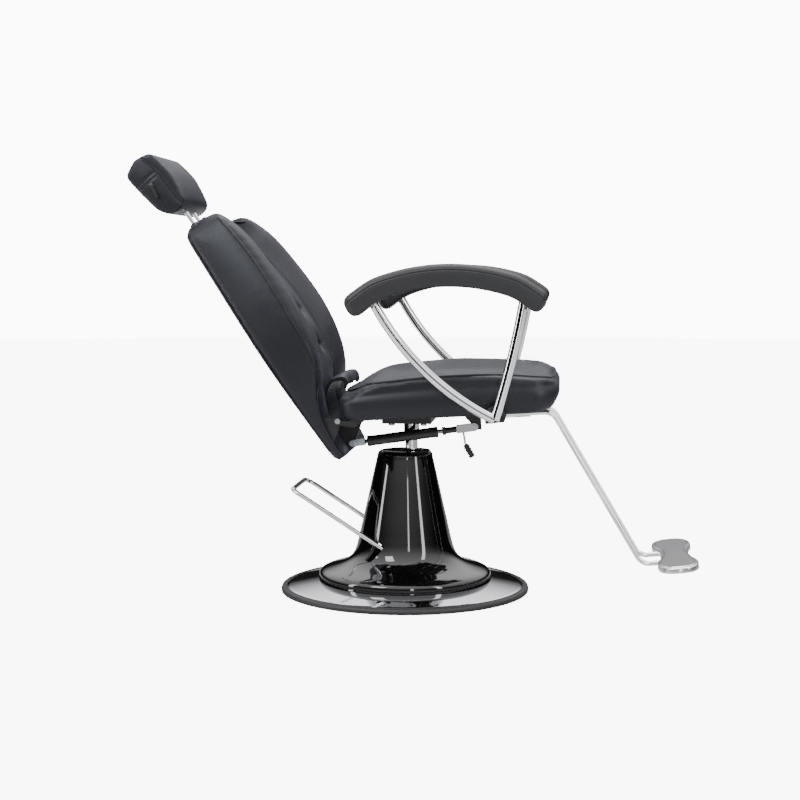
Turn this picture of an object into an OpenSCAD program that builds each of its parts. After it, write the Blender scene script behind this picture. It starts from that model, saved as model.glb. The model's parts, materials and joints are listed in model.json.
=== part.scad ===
// Hydraulic barber chair: round base, pump lift, swivel seat, reclining back.
// Millimetres. +X is the chair's front, +Z is up, the origin is the base centre on the floor.

/* [Base] */
// Outer diameter of the rubber trim ring
base_d = 600; // [520:1:720]
// Width of the rubber trim ring
trim_w = 13; // [8:1:20]
// Height of the rubber trim ring
trim_h = 13; // [10:1:20]
// Thickness of the steel floor plate
floor_t = 6; // [4:0.5:12]
// Crown radius of the chromed dome
dome_r = 1490; // [1200:10:3000]
// Sheet thickness of the dome and of the column cover
sheet_t = 3; // [1.5:0.5:4]
// Radius of the hole in the middle of the dome
dome_hole_r = 121; // [118:1:140]

/* [Column cover] */
// Radius of the cover's lower skirt
skirt_r = 209; // [195:1:230]
// Radius of the cover at its shoulder
shoulder_r = 126; // [118:1:135]
// Radius of the cover at its top
cover_top_r = 64; // [58:1:80]
// Height of the cover's top face
cover_z = 340; // [330:1:346]
// Radius of the hole around the ram
cover_hole_r = 21; // [20.5:0.5:26]

/* [Pump] */
// Distance of the pump axis in front of the base centre
ram_x = 16; // [0:1:20]
// Diameter of the lifting ram
ram_d = 30; // [24:1:32]
// Bore of the pump cylinder
pump_bore_d = 44; // [40:1:48]
// Wall of the pump cylinder
pump_wall = 6; // [4:0.5:7]
// Outer diameter of the oil reservoir
tank_d = 100; // [92:1:104]
// Height of the oil reservoir's lid above the floor
tank_z = 150; // [130:1:200]
// Radius of the pump flange
flange_r = 92; // [85:1:98]
// Thickness of the pump flange
flange_t = 12; // [8:1:16]
// Diameter of the circle that the four flange bolts sit on
flange_pcd = 156; // [150:1:164]
// Lift from the lowest seat height to the highest
lift = 150; // [80:5:170]
// Radial clearance of a running fit
run_gap = 0.05; // [0.02:0.01:0.08]
// Clearance between pieces that only sit side by side
fit_gap = 0.3; // [0.2:0.05:0.6]

/* [Foot pedal] */
// Height of the pedal pivot above the floor
pedal_z = 72; // [68:1:80]
// Distance of the pedal pivot in front of the base centre
pedal_x = 20; // [10:1:26]
// Slope of the raised pedal
pedal_rise = 32.9; // [28:0.1:38]
// Downward travel of the pedal in degrees
pedal_travel = 22; // [14:1:24]
// Diameter of the pedal bar
pedal_d = 11; // [9:0.5:14]
// Distance between the two pedal arms
pedal_w = 200; // [196:1:206]
// Length of the pedal arms from the pivot to the kick
pedal_len = 310; // [240:1:340]
// Length of the flatter end of the pedal
pedal_kick = 27; // [22:1:60]
// Distance of the plunger in front of the pump axis
plunger_off = 62; // [60:1:70]

/* [Seat] */
// Height of the seat board's underside at the ram
seat_z = 436; // [430:1:520]
// Upward tilt of the seat's front edge
seat_tilt = 3.3; // [0:0.1:5]
// Depth of the seat in front of the ram
seat_front = 357; // [300:1:400]
// Depth of the seat behind the ram
seat_rear = 142; // [120:1:142]
// Width of the seat cushion
seat_w = 498; // [440:1:520]
// Height of the cushion's crown above the board's underside
seat_crown = 107; // [80:1:140]
// Thickness of the plywood seat board
board_t = 18; // [12:1:22]
// Width of upholstery wrapped round the board's edge
wrap = 8; // [5:1:14]

/* [Arms] */
// Distance between the two arm frames
arm_span = 590; // [560:1:640]
// Diameter of the arm tubes
arm_d = 22; // [18:1:26]
// Wall of the arm tubes
arm_wall = 1.5; // [1:0.1:3]
// Width of an arm pad
pad_w = 66; // [50:1:80]
// Distance from the arm frame to the pad's centre line, outward
pad_out = 10; // [0:1:16]
// Outer radius of the curved arm pad
pad_r = 468; // [440:1:500]
// Thickness of the arm pad
pad_t = 51; // [40:1:60]
// Height of the arm pad's top above the floor at zero lift
pad_z = 787; // [770:1:820]

/* [Backrest] */
// Lean of the reclined backrest from vertical
lean = 34.4; // [25:0.1:45]
// Travel from reclined to upright in degrees
recline_travel = 26; // [15:1:30]
// Length of the backrest above its hinge
back_top = 588; // [520:1:640]
// Length of the backrest below its hinge
back_tail = 78; // [76:1:90]
// Width of the backrest at its widest
back_w = 482; // [460:1:500]
// Thickness of the backrest board
back_board_t = 15; // [14:1:16]
// Thickness of the padded rear panel
back_panel_t = 5; // [3:0.5:8]
// Width of the hollow between the two side bolsters
valley_w = 190; // [150:1:230]
// Diameter of the hinge bolts
hinge_d = 8; // [6:1:9]
// Distance of the hinge ears from the middle plane
hinge_y = 200; // [150:1:205]
// Thickness of the hinge ears
ear_t = 6; // [4:0.5:8]

/* [Headrest] */
// Width of the headrest
head_w = 260; // [200:1:300]
// Height of the headrest block
head_h = 150; // [120:1:180]
// Gap between the backrest and the headrest at rest
head_gap = 32; // [28:1:60]
// Diameter of the headrest posts
post_d = 10; // [8:0.5:11]
// Distance between the headrest posts
post_span = 80; // [60:1:120]

/* [Recline strut] */
// Sideways place of the strut
strut_y = -60; // [-64:1:-50]
// Diameter of the strut cylinder
strut_d = 25; // [20:1:28]
// Diameter of the strut rod
strut_rod_d = 10; // [8:0.5:12]
// Diameter of the strut's two pivot pins
strut_pin_d = 8; // [6:0.5:8]
// Radial play of the rear strut pin in its lug
lug_play = 1.5; // [1.4:0.1:2]

/* [Footrest] */
// Diameter of the footrest rods' ends in their sockets
foot_rod_d = 13; // [12.5:0.1:15]
// Diameter of the bent part of the footrest rods
foot_bar_d = 12.2; // [8:0.1:12.3]
// Distance between the two footrest rods
foot_span = 110; // [90:1:140]
// Wall of the rod sockets
socket_wall = 2.75; // [2:0.25:4]
// Width of the footrest plate
foot_w = 380; // [300:1:440]
// Depth of the footrest plate at its lobes
foot_depth = 94; // [80:1:110]
// Height of the footrest plate's rear edge above the floor
foot_z = 80; // [60:1:100]

/* [Hidden] */
$fn = 48;

// Colours
c_vinyl = "#2e3036";
c_black = "#121214";
c_rubber = "#3a3c40";
c_chrome = "#d2d6dc";
c_steel = "#9aa0a6";
c_zinc = "#a9b7c2";
c_wood = "#b08a5a";
c_oil = "#4a4f57";

// Base and cover
plate_r = base_d / 2 - trim_w;
dome_drop = dome_r - sqrt(dome_r * dome_r - plate_r * plate_r);
dome_top = trim_h + dome_drop;
cover_base_z = dome_at(skirt_r - sheet_t) + fit_gap;
skirt_top = 55;
shoulder_z = 68;
cone_z = 99;
flange_z = floor_t;
tank_base = flange_z + flange_t;
cyl_r = pump_bore_d / 2 + pump_wall;
bolt_r = 5;
bolt_head_r = 9;
bolt_head_h = 6.5;
bolt_blind = 1;

// Half the thickness of the strut's lug and bracket plates
plate_half = 3;

// Pump heights
gland_h = 14;
gland_z = cover_z - sheet_t - gland_h - 1;
gland_r = cyl_r + 3;
bush_h = 24;
cyl_floor = 6;
piston_h = 16;
piston_z = tank_base + cyl_floor + 4;
spigot_r = 8;
spigot_cap = 4;
hub_z = seat_z - 53;
hub_r = ram_d / 2 + 3.5;
plate_z = seat_z - 25;
rail_t = 7;
rail_w = 22;
rail_y = -strut_y + plate_half + 3 + rail_w / 2;
ram_top = plate_z + 6;
plate_x = [-46, 70];
plate_bolt_x = [-24, 52];
plate_bolt_r = 4;

// Pedal
pin_r = 8;
pedal_hub_r = 13;
tank_boss_y = tank_d / 2 + 6;
yoke_t = 8;
yoke_in = tank_boss_y + 2;
pedal_hub_end = pedal_w / 2 + 9;
slot_half = pedal_d / 2 + 3;
slot_margin = 3.2;
plunger_x = ram_x + plunger_off;
plunger_r = 5;
plunger_head_r = 10;
housing_r = 9;
yoke_reach = plunger_x - pedal_x;
kick_turn = 8.3;
kick_corner_r = 20;
kick_bend_r = 24;
yoke_bar_z = -6;
yoke_bar_h = 8;
yoke_swing_gap = 7;
plunger_head_z = pedal_z + yoke_bar_z + yoke_bar_h + 2;

// Hinge between seat and back, and the backrest's own frame
hinge_bar_x = [-seat_rear + 6, -seat_rear + 46];
hinge_x = ram_x - (seat_rear + 7) * cos(seat_tilt) - 0.3;
hinge_z = seat_z - (seat_rear + 7) * sin(seat_tilt) + 0.6;
ear_r = 7;
board_n = -42;
skin_n = -37;
panel_n = board_n - back_board_t;
back_half = back_w / 2;
post_n = board_n - 8;
lug_n = -26.3;
lug_u = -63.2;
sleeve_u = [back_top - 96, back_top - 6];
sleeve_r = post_d / 2 + 2;

// Headrest, in the backrest's frame
head_u = back_top + head_gap;
post_foot = back_top - 130;
post_top = head_u + 62;
core = [[post_n - 14, post_n + 14], [head_u + 20, head_u + head_h - 30]];
core_half = head_w / 2 - 22;

// Strut: rear pin, front pin, length and slope
rear_pin = [hinge_x + lug_n * cos(lean) - lug_u * sin(lean),
  hinge_z + lug_n * sin(lean) + lug_u * cos(lean)];
front_local = [153, -41.9];
front_pin = [ram_x + front_local[0] * cos(seat_tilt) - front_local[1] * sin(seat_tilt),
  seat_z + front_local[0] * sin(seat_tilt) + front_local[1] * cos(seat_tilt)];
strut_vec = front_pin - rear_pin;
strut_len = norm(strut_vec);
strut_slope = atan2(strut_vec[1], strut_vec[0]);
strut_pin_r = strut_pin_d / 2;
fork_half = 9.5;
fork_h = 9.5;
fork_slot = plate_half + 0.8;
pin_cap_r = strut_pin_r + 2.5;
cyl_start = 36;
cyl_end = strut_len - 88;
fork_start = strut_len - 42;
nut_start = strut_len - 77;
lever_back = 28;
lever_drop = 4;
lever_p = rear_pin + [(strut_len - lever_back) * cos(strut_slope) + lever_drop * sin(strut_slope),
  (strut_len - lever_back) * sin(strut_slope) - lever_drop * cos(strut_slope)];
lever_pin_r = 2.5;
lever_tilt = 10;
shank = [5, 4, 34];
paddle = [10, 22, 34];
paddle_tilt = 20;

// Arms
arm_y = arm_span / 2;
vee = [229, seat_z + 7];
pad_c = [130, pad_z - pad_r];
pad_in_r = pad_r - pad_t;
pad_ends = [61, 122];
pad_y = arm_y + pad_out;
rear_mid = [68, seat_z + 120];
rear_top = [-48, seat_z + 279];
front_mid = [264, seat_z + 135];
front_top = [293, seat_z + 279];
arm_bar_x = [190, 236];
arm_bar_t = 6;
frame_bolt_x = (arm_bar_x[0] + arm_bar_x[1]) / 2;
frame_bolt_y = [-200, -150, 150, 200];
frame_bolt_r = 3;
frame_bolt_in = 11;

// Footrest
socket_r = foot_rod_d / 2 + run_gap + socket_wall;
socket_zl = -arm_bar_t - socket_r;
socket_x = [196, 286];
foot_drop_top = [338, socket_zl];
foot_knee = [567, foot_z + 1];
foot_tilt = 6.5;
foot_len = 96;
foot_toe = foot_knee + foot_len * [cos(foot_tilt), sin(foot_tilt)];
foot_bend_r = 32;
foot_end = socket_x[1] + 4;
foot_back = 34;
foot_rim = 13;
foot_panel = 3;
foot_rise = foot_rod_d / 2 + fit_gap;

// ---- Functions ----

function unit(v) = v / norm(v);

// Points of one rounded corner: p1 between p0 and p2, radius r, n steps
function corner(p0, p1, p2, r, n) =
  let (a = unit(p0 - p1), b = unit(p2 - p1), half = acos(a * b) / 2)
  let (c = p1 + unit(a + b) * r / sin(half), s = p1 + a * r / tan(half) - c)
  let (turn = cross(-a, b) > 0 ? 1 : -1, sweep = (180 - 2 * half) * turn)
  [for (i = [0:n]) let (w = sweep * i / n)
    c + [s[0] * cos(w) - s[1] * sin(w), s[0] * sin(w) + s[1] * cos(w)]];

// Closed outline with rounded corners; each point is [x, y, radius]
function rounded(pts, n = 6) =
  let (k = len(pts), xy = [for (p = pts) [p[0], p[1]]])
  [for (i = [0:k - 1]) each (pts[i][2] == 0 ? [xy[i]]
    : corner(xy[(i + k - 1) % k], xy[i], xy[(i + 1) % k], pts[i][2], n))];

// Centre of the circle through three points
function circle_c(a, b, c) =
  let (d = 2 * (a[0] * (b[1] - c[1]) + b[0] * (c[1] - a[1]) + c[0] * (a[1] - b[1])))
  [((a * a) * (b[1] - c[1]) + (b * b) * (c[1] - a[1]) + (c * c) * (a[1] - b[1])) / d,
   ((a * a) * (c[0] - b[0]) + (b * b) * (a[0] - c[0]) + (c * c) * (b[0] - a[0])) / d];

// Point in the seat frame of a world point
function to_seat(p) = let (d = [p[0] - ram_x, p[1] - seat_z])
  [d[0] * cos(seat_tilt) + d[1] * sin(seat_tilt), d[1] * cos(seat_tilt) - d[0] * sin(seat_tilt)];

function mirrored(pts) = [for (p = pts) [-p[0], p[1], p[2]]];

function reversed(v) = [for (i = [len(v) - 1:-1:0]) v[i]];

// ---- Shared shapes ----

// Puts children in the tilted seat frame: origin at the ram, under the board
module seat_frame() {
  translate([ram_x, 0, seat_z])
    rotate([0, -seat_tilt, 0])
      children();
}

// Puts children in the backrest frame: X is towards the sitter, Z runs up the back
module back_frame() {
  translate([hinge_x, 0, hinge_z])
    rotate([0, -lean, 0])
      children();
}

// Puts children in the strut frame: X runs from the rear pin to the front pin
module strut_frame() {
  translate([rear_pin[0], strut_y, rear_pin[1]])
    rotate([0, -strut_slope, 0])
      children();
}

// Outline in X and Z, extruded along Y between y0 and y1
module slab(pts, y0, y1) {
  translate([0, y1, 0])
    rotate([90, 0, 0])
      linear_extrude(height = y1 - y0)
        polygon(pts);
}

// Outline in Y and Z, extruded along X between x0 and x1
module sheet(pts, x0, x1) {
  translate([x0, 0, 0])
    rotate([90, 0, 90])
      linear_extrude(height = x1 - x0)
        polygon(pts);
}

// Cylinder along Y between y0 and y1 at x, z
module pin_y(x, z, r, y0, y1) {
  translate([x, y1, z])
    rotate([90, 0, 0])
      cylinder(r = r, h = y1 - y0);
}

// Cylinder along X between x0 and x1 at y, z
module pin_x(y, z, r, x0, x1) {
  translate([x0, y, z])
    rotate([0, 90, 0])
      cylinder(r = r, h = x1 - x0);
}

// Points of a bend of radius r at p1, on the way from p0 to p2
function bend_pts(p0, p1, p2, r, n) =
  let (a = unit(p0 - p1), b = unit(p2 - p1), half = acos(a * b) / 2, sweep = 180 - 2 * half)
  let (c = p1 + unit(a + b) * r / sin(half), s = p1 + a * r / tan(half) - c,
    e = p1 + b * r / tan(half) - c)
  [for (i = [0:n]) c + (s * sin(sweep * (1 - i / n)) + e * sin(sweep * i / n)) / sin(sweep)];

// Path with a bend at each inner point; each point is [x, y, z, bend radius]
function bent_path(pts, n = 8) =
  let (k = len(pts), p = [for (q = pts) [q[0], q[1], q[2]]])
  concat([p[0]], [for (i = [1:k - 2]) each bend_pts(p[i - 1], p[i], p[i + 1], pts[i][3], n)],
    [p[k - 1]]);

// Round bar swept along a path; up is a direction that no stretch of the path runs along
module swept_bar(path, r, up, sides = 24) {
  k = len(path);
  along = [for (i = [0:k - 1]) unit(path[min(i + 1, k - 1)] - path[max(i - 1, 0)])];
  pts = [for (i = [0:k - 1]) let (u = unit(cross(up, along[i])), v = cross(along[i], u))
    for (j = [0:sides - 1]) path[i] + r * (cos(360 * j / sides) * u + sin(360 * j / sides) * v)];
  walls = [for (i = [0:k - 2], j = [0:sides - 1]) let (m = (j + 1) % sides)
    [i * sides + j, (i + 1) * sides + j, (i + 1) * sides + m, i * sides + m]];
  polyhedron(pts, concat([[for (j = [0:sides - 1]) j]], walls,
    [[for (j = [sides - 1:-1:0]) (k - 1) * sides + j]]));
}

// Arched solid bar in an X-Z plane through three points
module arch(a, b, c, r, y) {
  o = circle_c(a, b, c);
  ra = norm(a - o);
  a0 = atan2(a[1] - o[1], a[0] - o[0]);
  a1 = atan2(c[1] - o[1], c[0] - o[0]);
  step = a1 - a0 - 360 * round((a1 - a0) / 360);
  translate([o[0], y, o[1]])
    rotate([90, 0, 0])
      rotate([0, 0, step > 0 ? a0 : a1])
        rotate_extrude(angle = abs(step), $fn = 180)
          translate([ra, 0])
            circle(r = r);
}

// Hexagonal bolt head or nut standing on z = 0
module hex(r, h) {
  cylinder(r = r, h = h, $fn = 6);
}

// ---- Base ----

module floor_plate() {
  color(c_steel)
    difference() {
      cylinder(r = plate_r - fit_gap, h = floor_t, $fn = 128);
      for (a = [45:90:315])
        translate([ram_x, 0, 0])
          rotate([0, 0, a])
            translate([flange_pcd / 2, 0, bolt_blind])
              cylinder(r = bolt_r + fit_gap, h = floor_t);
    }
}

// Height of the dome's outer surface at radius r
function dome_at(r) = dome_top - dome_r + sqrt(dome_r * dome_r - r * r);

module base_dome() {
  steps = 10;
  rim = plate_r - fit_gap;
  out = [for (i = [0:steps]) let (r = dome_hole_r + (rim - dome_hole_r) * i / steps) [r, dome_at(r)]];
  inn = [for (i = [steps:-1:0])
    let (r = dome_hole_r + sheet_t + (rim - 2 * sheet_t - dome_hole_r) * i / steps)
    [r, dome_at(r) - sheet_t]];
  color(c_chrome)
    rotate_extrude($fn = 128)
      polygon(concat(out, [[rim, floor_t], [rim - sheet_t, floor_t]], inn,
        [[dome_hole_r + sheet_t, floor_t], [dome_hole_r, floor_t]]));
}

module base_trim_ring() {
  color(c_rubber)
    rotate_extrude($fn = 128)
      polygon(rounded([[plate_r, 0, 0], [base_d / 2, 0, 1.5], [base_d / 2, trim_h, 7],
        [plate_r, trim_h + 2, 2.5]]));
}

// Outline of the cover's outer surface, moved inwards by t
function cover_side(t) = [
  [skirt_r - t, cover_base_z, 0],
  [skirt_r - t, skirt_top - t, 16 - t],
  [shoulder_r + 30 - t, shoulder_z - 1 - t, 40 + t],
  [shoulder_r - 5 - t, cone_z - 18 - t, 22 + t],
  [shoulder_r - 10 - t, cone_z + 8 - t, 60],
  [cover_top_r - t, cover_z - t, 10 - t]];

// Fan-shaped slots that the pedal arms swing in
module pedal_slots() {
  lo = pedal_rise - pedal_travel - slot_margin;
  hi = pedal_rise + slot_margin;
  reach = 150;
  for (s = [-1, 1])
    slab([[pedal_x, pedal_z],
      [pedal_x - reach * cos(hi), pedal_z + reach * sin(hi) + pedal_d],
      [pedal_x - reach * cos(lo), pedal_z + reach * sin(lo) - pedal_d / 2]],
      s * pedal_w / 2 - slot_half, s * pedal_w / 2 + slot_half);
}

module column_cover() {
  color(c_black)
    difference() {
      rotate_extrude($fn = 128)
        polygon(concat(rounded(concat([[0, cover_z, 0], [0, cover_base_z, 0]], cover_side(0)))));
      rotate_extrude($fn = 128)
        polygon(rounded(concat([[0, cover_z - sheet_t, 0], [0, cover_base_z - 1, 0],
          [skirt_r - sheet_t, cover_base_z - 1, 0]], cover_side(sheet_t))));
      translate([ram_x, 0, cover_z - 2 * sheet_t])
        cylinder(r = cover_hole_r, h = 4 * sheet_t);
      pedal_slots();
    }
}

module pump_flange() {
  color(c_oil)
    translate([ram_x, 0, flange_z])
      difference() {
        cylinder(r = flange_r, h = flange_t, $fn = 96);
        for (a = [45:90:315])
          rotate([0, 0, a])
            translate([flange_pcd / 2, 0, -1])
              cylinder(r = bolt_r + fit_gap, h = flange_t + 2);
      }
}

module pump_bolts() {
  color(c_zinc)
    for (a = [45:90:315])
      translate([ram_x, 0, 0])
        rotate([0, 0, a])
          translate([flange_pcd / 2, 0, bolt_blind]) {
            cylinder(r = bolt_r, h = tank_base - bolt_blind);
            translate([0, 0, tank_base - bolt_blind])
              hex(bolt_head_r, bolt_head_h);
          }
}

module pump_reservoir() {
  color(c_oil)
    difference() {
      union() {
        translate([ram_x, 0, tank_base])
          cylinder(r = tank_d / 2, h = tank_z - tank_base, $fn = 96);
        pin_y(pedal_x, pedal_z, pedal_hub_r + 3, -tank_boss_y, tank_boss_y);
      }
      translate([ram_x, 0, tank_base - 1])
        cylinder(r = cyl_r + fit_gap, h = tank_z, $fn = 96);
      for (s = [-1, 1])
        pin_y(pedal_x, pedal_z, pin_r + run_gap, s > 0 ? cyl_r + 4 : -tank_boss_y - 1,
          s > 0 ? tank_boss_y + 1 : -cyl_r - 4);
      translate([ram_x, tank_d / 2 - 10, tank_z - 8])
        cylinder(r = 5, h = 9);
    }
}

module pump_cylinder() {
  color(c_steel)
    translate([ram_x, 0, tank_base])
      difference() {
        cylinder(r = cyl_r, h = gland_z - tank_base, $fn = 96);
        translate([0, 0, cyl_floor])
          cylinder(r = pump_bore_d / 2, h = gland_z, $fn = 96);
      }
}

module gland_cap() {
  color(c_oil)
    translate([ram_x, 0, gland_z])
      difference() {
        cylinder(r = gland_r, h = gland_h, $fn = 96);
        translate([0, 0, -1])
          cylinder(r = ram_d / 2 + 1, h = gland_h + 2);
      }
}

module rod_bush() {
  color("#b9924a")
    translate([ram_x, 0, gland_z - bush_h])
      difference() {
        cylinder(r = pump_bore_d / 2 - run_gap, h = bush_h, $fn = 96);
        translate([0, 0, -1])
          cylinder(r = ram_d / 2 + run_gap, h = bush_h + 2, $fn = 96);
      }
}

module rod_wiper() {
  color(c_black)
    translate([ram_x, 0, gland_z + gland_h])
      rotate_extrude($fn = 96)
        polygon(rounded([[ram_d / 2 + fit_gap, 0, 0], [ram_d / 2 + 4.5, 0, 0], [ram_d / 2 + 4.5, 5, 1.5],
          [ram_d / 2 + fit_gap, 7, 0.8]]));
}

module filler_plug() {
  color(c_zinc)
    translate([ram_x, tank_d / 2 - 10, tank_z - 8]) {
      cylinder(r = 5 - run_gap, h = 8);
      translate([0, 0, 8])
        hex(8, 5);
    }
}

module pedal_pins() {
  color(c_zinc)
    for (s = [-1, 1]) {
      y0 = cyl_r + 4 + fit_gap;
      y1 = pedal_hub_end + fit_gap;
      pin_y(pedal_x, pedal_z, pin_r, s > 0 ? y0 : -y1, s > 0 ? y1 : -y0);
      pin_y(pedal_x, pedal_z, pin_r + 3, s > 0 ? y1 : -y1 - 4, s > 0 ? y1 + 4 : -y1);
    }
}

module plunger_housing() {
  color(c_oil)
    translate([plunger_x, 0, tank_base])
      difference() {
        cylinder(r = housing_r, h = pedal_z + yoke_bar_z - tank_base - 6);
        translate([0, 0, 4])
          cylinder(r = plunger_r + run_gap, h = pedal_z);
      }
}

// ---- Foot pedal and plunger ----

// Puts children in the pedal frame: X runs from the pivot out along the raised arm
module pedal_frame() {
  translate([pedal_x, 0, pedal_z])
    rotate([0, 180 + pedal_rise, 0])
      mirror([0, 0, 1])
        children();
}

module foot_pedal() {
  half = pedal_w / 2;
  kx = pedal_len + pedal_kick * cos(kick_turn);
  kz = -pedal_kick * sin(kick_turn);
  arm = [[pedal_hub_r + 1, half, 0, 0], [pedal_len, half, 0, kick_bend_r],
    [kx, half, kz, kick_corner_r]];
  color(c_chrome)
    pedal_frame()
      swept_bar(bent_path(concat(arm, [for (p = reversed(arm)) [p[0], -p[1], p[2], p[3]]])),
        pedal_d / 2, [0, 0, 1]);
}

module pedal_yoke() {
  y_out = pedal_hub_end;
  bar_x = [pedal_x + yoke_reach - 16, pedal_x + yoke_reach + 12];
  color(c_steel)
    difference() {
      union() {
        for (s = [-1, 1]) {
          pin_y(pedal_x, pedal_z, pedal_hub_r, s > 0 ? yoke_in : -y_out, s > 0 ? y_out : -yoke_in);
          pedal_frame()
            pin_x(s * pedal_w / 2, 0, pedal_d / 2 + 3, 4, pedal_hub_r + 14);
          slab([[pedal_x, pedal_z - 9], [bar_x[1], pedal_z + yoke_bar_z],
            [bar_x[1], pedal_z + yoke_bar_z + yoke_bar_h], [pedal_x, pedal_z + 9]],
            s > 0 ? yoke_in : -yoke_in - yoke_t, s > 0 ? yoke_in + yoke_t : -yoke_in);
        }
        translate([bar_x[0], -yoke_in - yoke_t, pedal_z + yoke_bar_z])
          cube([bar_x[1] - bar_x[0], 2 * (yoke_in + yoke_t), yoke_bar_h]);
      }
      for (s = [-1, 1]) {
        pin_y(pedal_x, pedal_z, pin_r + run_gap, s > 0 ? yoke_in - 1 : -y_out - 1,
          s > 0 ? y_out + 1 : -yoke_in + 1);
        pedal_frame()
          pin_x(s * pedal_w / 2, 0, pedal_d / 2 + run_gap, pedal_hub_r + 1, pedal_hub_r + 15);
      }
      translate([plunger_x - plunger_r - 4, -plunger_r - 3, pedal_z - 20])
        cube([40, 2 * plunger_r + 6, 40]);
      translate([ram_x, 0, 0])
        cylinder(r = tank_d / 2 + yoke_swing_gap, h = tank_z, $fn = 96);
    }
}

module pump_plunger() {
  color(c_chrome)
    translate([plunger_x, 0, 0]) {
      translate([0, 0, tank_base + 6])
        cylinder(r = plunger_r, h = plunger_head_z - tank_base - 6);
      translate([0, 0, plunger_head_z])
        cylinder(r = plunger_head_r, h = 5);
    }
}

// ---- Piston and ram ----

module piston_head() {
  color(c_steel)
    translate([ram_x, 0, piston_z])
      difference() {
        cylinder(r = pump_bore_d / 2 - run_gap, h = piston_h, $fn = 96);
        translate([0, 0, -1])
          cylinder(r = spigot_r + run_gap, h = piston_h + 2);
        translate([0, 0, piston_h / 2 - 3])
          difference() {
            cylinder(r = pump_bore_d, h = 6);
            translate([0, 0, -1])
              cylinder(r = pump_bore_d / 2 - 3, h = 8, $fn = 96);
          }
      }
}

module piston_seal() {
  color(c_black)
    translate([ram_x, 0, piston_z + piston_h / 2 - 3])
      difference() {
        cylinder(r = pump_bore_d / 2 - run_gap, h = 6, $fn = 96);
        translate([0, 0, -1])
          cylinder(r = pump_bore_d / 2 - 3, h = 8, $fn = 96);
      }
}

module piston_rod() {
  color(c_chrome)
    translate([ram_x, 0, 0]) {
      translate([0, 0, piston_z + piston_h + fit_gap])
        cylinder(r = ram_d / 2, h = ram_top - piston_z - piston_h - fit_gap, $fn = 96);
      translate([0, 0, piston_z - fit_gap])
        cylinder(r = spigot_r, h = piston_h + 3 * fit_gap);
      translate([0, 0, piston_z - fit_gap - 3])
        cylinder(r = spigot_r + spigot_cap, h = 3);
    }
}

module rod_hub() {
  color(c_chrome)
    translate([ram_x, 0, hub_z])
      difference() {
        rotate_extrude($fn = 96)
          polygon(rounded([[0, 0, 0], [hub_r, 0, 1], [hub_r, plate_z - hub_z, 0],
            [0, plate_z - hub_z, 0]]));
        translate([0, 0, -1])
          cylinder(r = ram_d / 2 + run_gap, h = 60, $fn = 96);
      }
}

// ---- Seat frame ----

// Underside of the rails where they cross the seat plate, as a height at x
function rail_under(x) = seat_z - rail_t / cos(seat_tilt) + (x - ram_x) * tan(seat_tilt);

// Upright holes for the four bolts that hold the rails on the seat plate
module plate_bolt_holes() {
  for (x = plate_bolt_x, y = [-rail_y, rail_y])
    translate([x, y, plate_z - 1])
      cylinder(r = plate_bolt_r + fit_gap, h = 60);
}

module seat_plate() {
  half = rail_y + rail_w / 2 + 1;
  color(c_black)
    difference() {
      slab([[plate_x[0], plate_z], [plate_x[1], plate_z], [plate_x[1], rail_under(plate_x[1])],
        [plate_x[0], rail_under(plate_x[0])]], -half, half);
      translate([ram_x, 0, plate_z - 1])
        cylinder(r = ram_d / 2 + run_gap, h = ram_top - plate_z + 1, $fn = 96);
      plate_bolt_holes();
    }
}

module seat_plate_bolts() {
  color(c_zinc)
    for (x = plate_bolt_x, y = [-rail_y, rail_y])
      translate([x, y, plate_z - 5]) {
        hex(7.5, 5);
        cylinder(r = plate_bolt_r, h = rail_under(x) - plate_z + 5 + rail_t - 1);
      }
}

module seat_rails() {
  color(c_black)
    difference() {
      seat_frame()
        for (s = [-1, 1])
          translate([hinge_bar_x[1] + fit_gap, s * rail_y - rail_w / 2, -rail_t])
            cube([arm_bar_x[0] - hinge_bar_x[1] - 2 * fit_gap, rail_w, rail_t]);
      plate_bolt_holes();
    }
}

module hinge_crossbar() {
  y_in = hinge_y + ear_t + 1;
  color(c_black)
    difference() {
      union() {
        seat_frame()
          translate([hinge_bar_x[0], -y_in - ear_t, -rail_t])
            cube([hinge_bar_x[1] - hinge_bar_x[0], 2 * (y_in + ear_t), rail_t]);
        for (s = [-1, 1]) {
          seat_frame()
            slab([[hinge_bar_x[0], 0], [hinge_bar_x[1], 0], [hinge_bar_x[1] - 16, -16],
              [-seat_rear - 8, -8], [-seat_rear - 7, 0.6]],
              s > 0 ? y_in : -y_in - ear_t, s > 0 ? y_in + ear_t : -y_in);
          pin_y(hinge_x, hinge_z, ear_r, s > 0 ? y_in : -y_in - ear_t,
            s > 0 ? y_in + ear_t : -y_in);
        }
      }
      pin_y(hinge_x, hinge_z, hinge_d / 2 + run_gap, -hinge_y - 60, hinge_y + 60);
    }
}

module arm_crossbar() {
  color(c_black)
    seat_frame()
      difference() {
        translate([arm_bar_x[0], -arm_y + arm_d / 2 + fit_gap, -arm_bar_t])
          cube([arm_bar_x[1] - arm_bar_x[0], arm_span - arm_d - 2 * fit_gap, arm_bar_t]);
        for (y = frame_bolt_y)
          translate([frame_bolt_x, y, -arm_bar_t - 1])
            cylinder(r = frame_bolt_r + fit_gap, h = arm_bar_t + 2);
      }
}

// Outline of the seat from above, moved inwards
function seat_plan(inset) = let (h = seat_w / 2 - inset, side = [
  [-seat_rear + inset, h - 24, 45 - inset / 2], [100, h, 500],
  [seat_front - 2 - inset, h - 14, 75 - inset]])
  rounded(concat([for (p = side) [p[0], -p[1], p[2]]], reversed(side)), 8);

// Outline of the seat board, h high
module board_blank(h) {
  linear_extrude(height = h)
    intersection() {
      polygon(seat_plan(wrap));
      translate([-seat_rear, -seat_w])
        square([seat_rear + seat_front - 30, 2 * seat_w]);
    }
}

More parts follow.
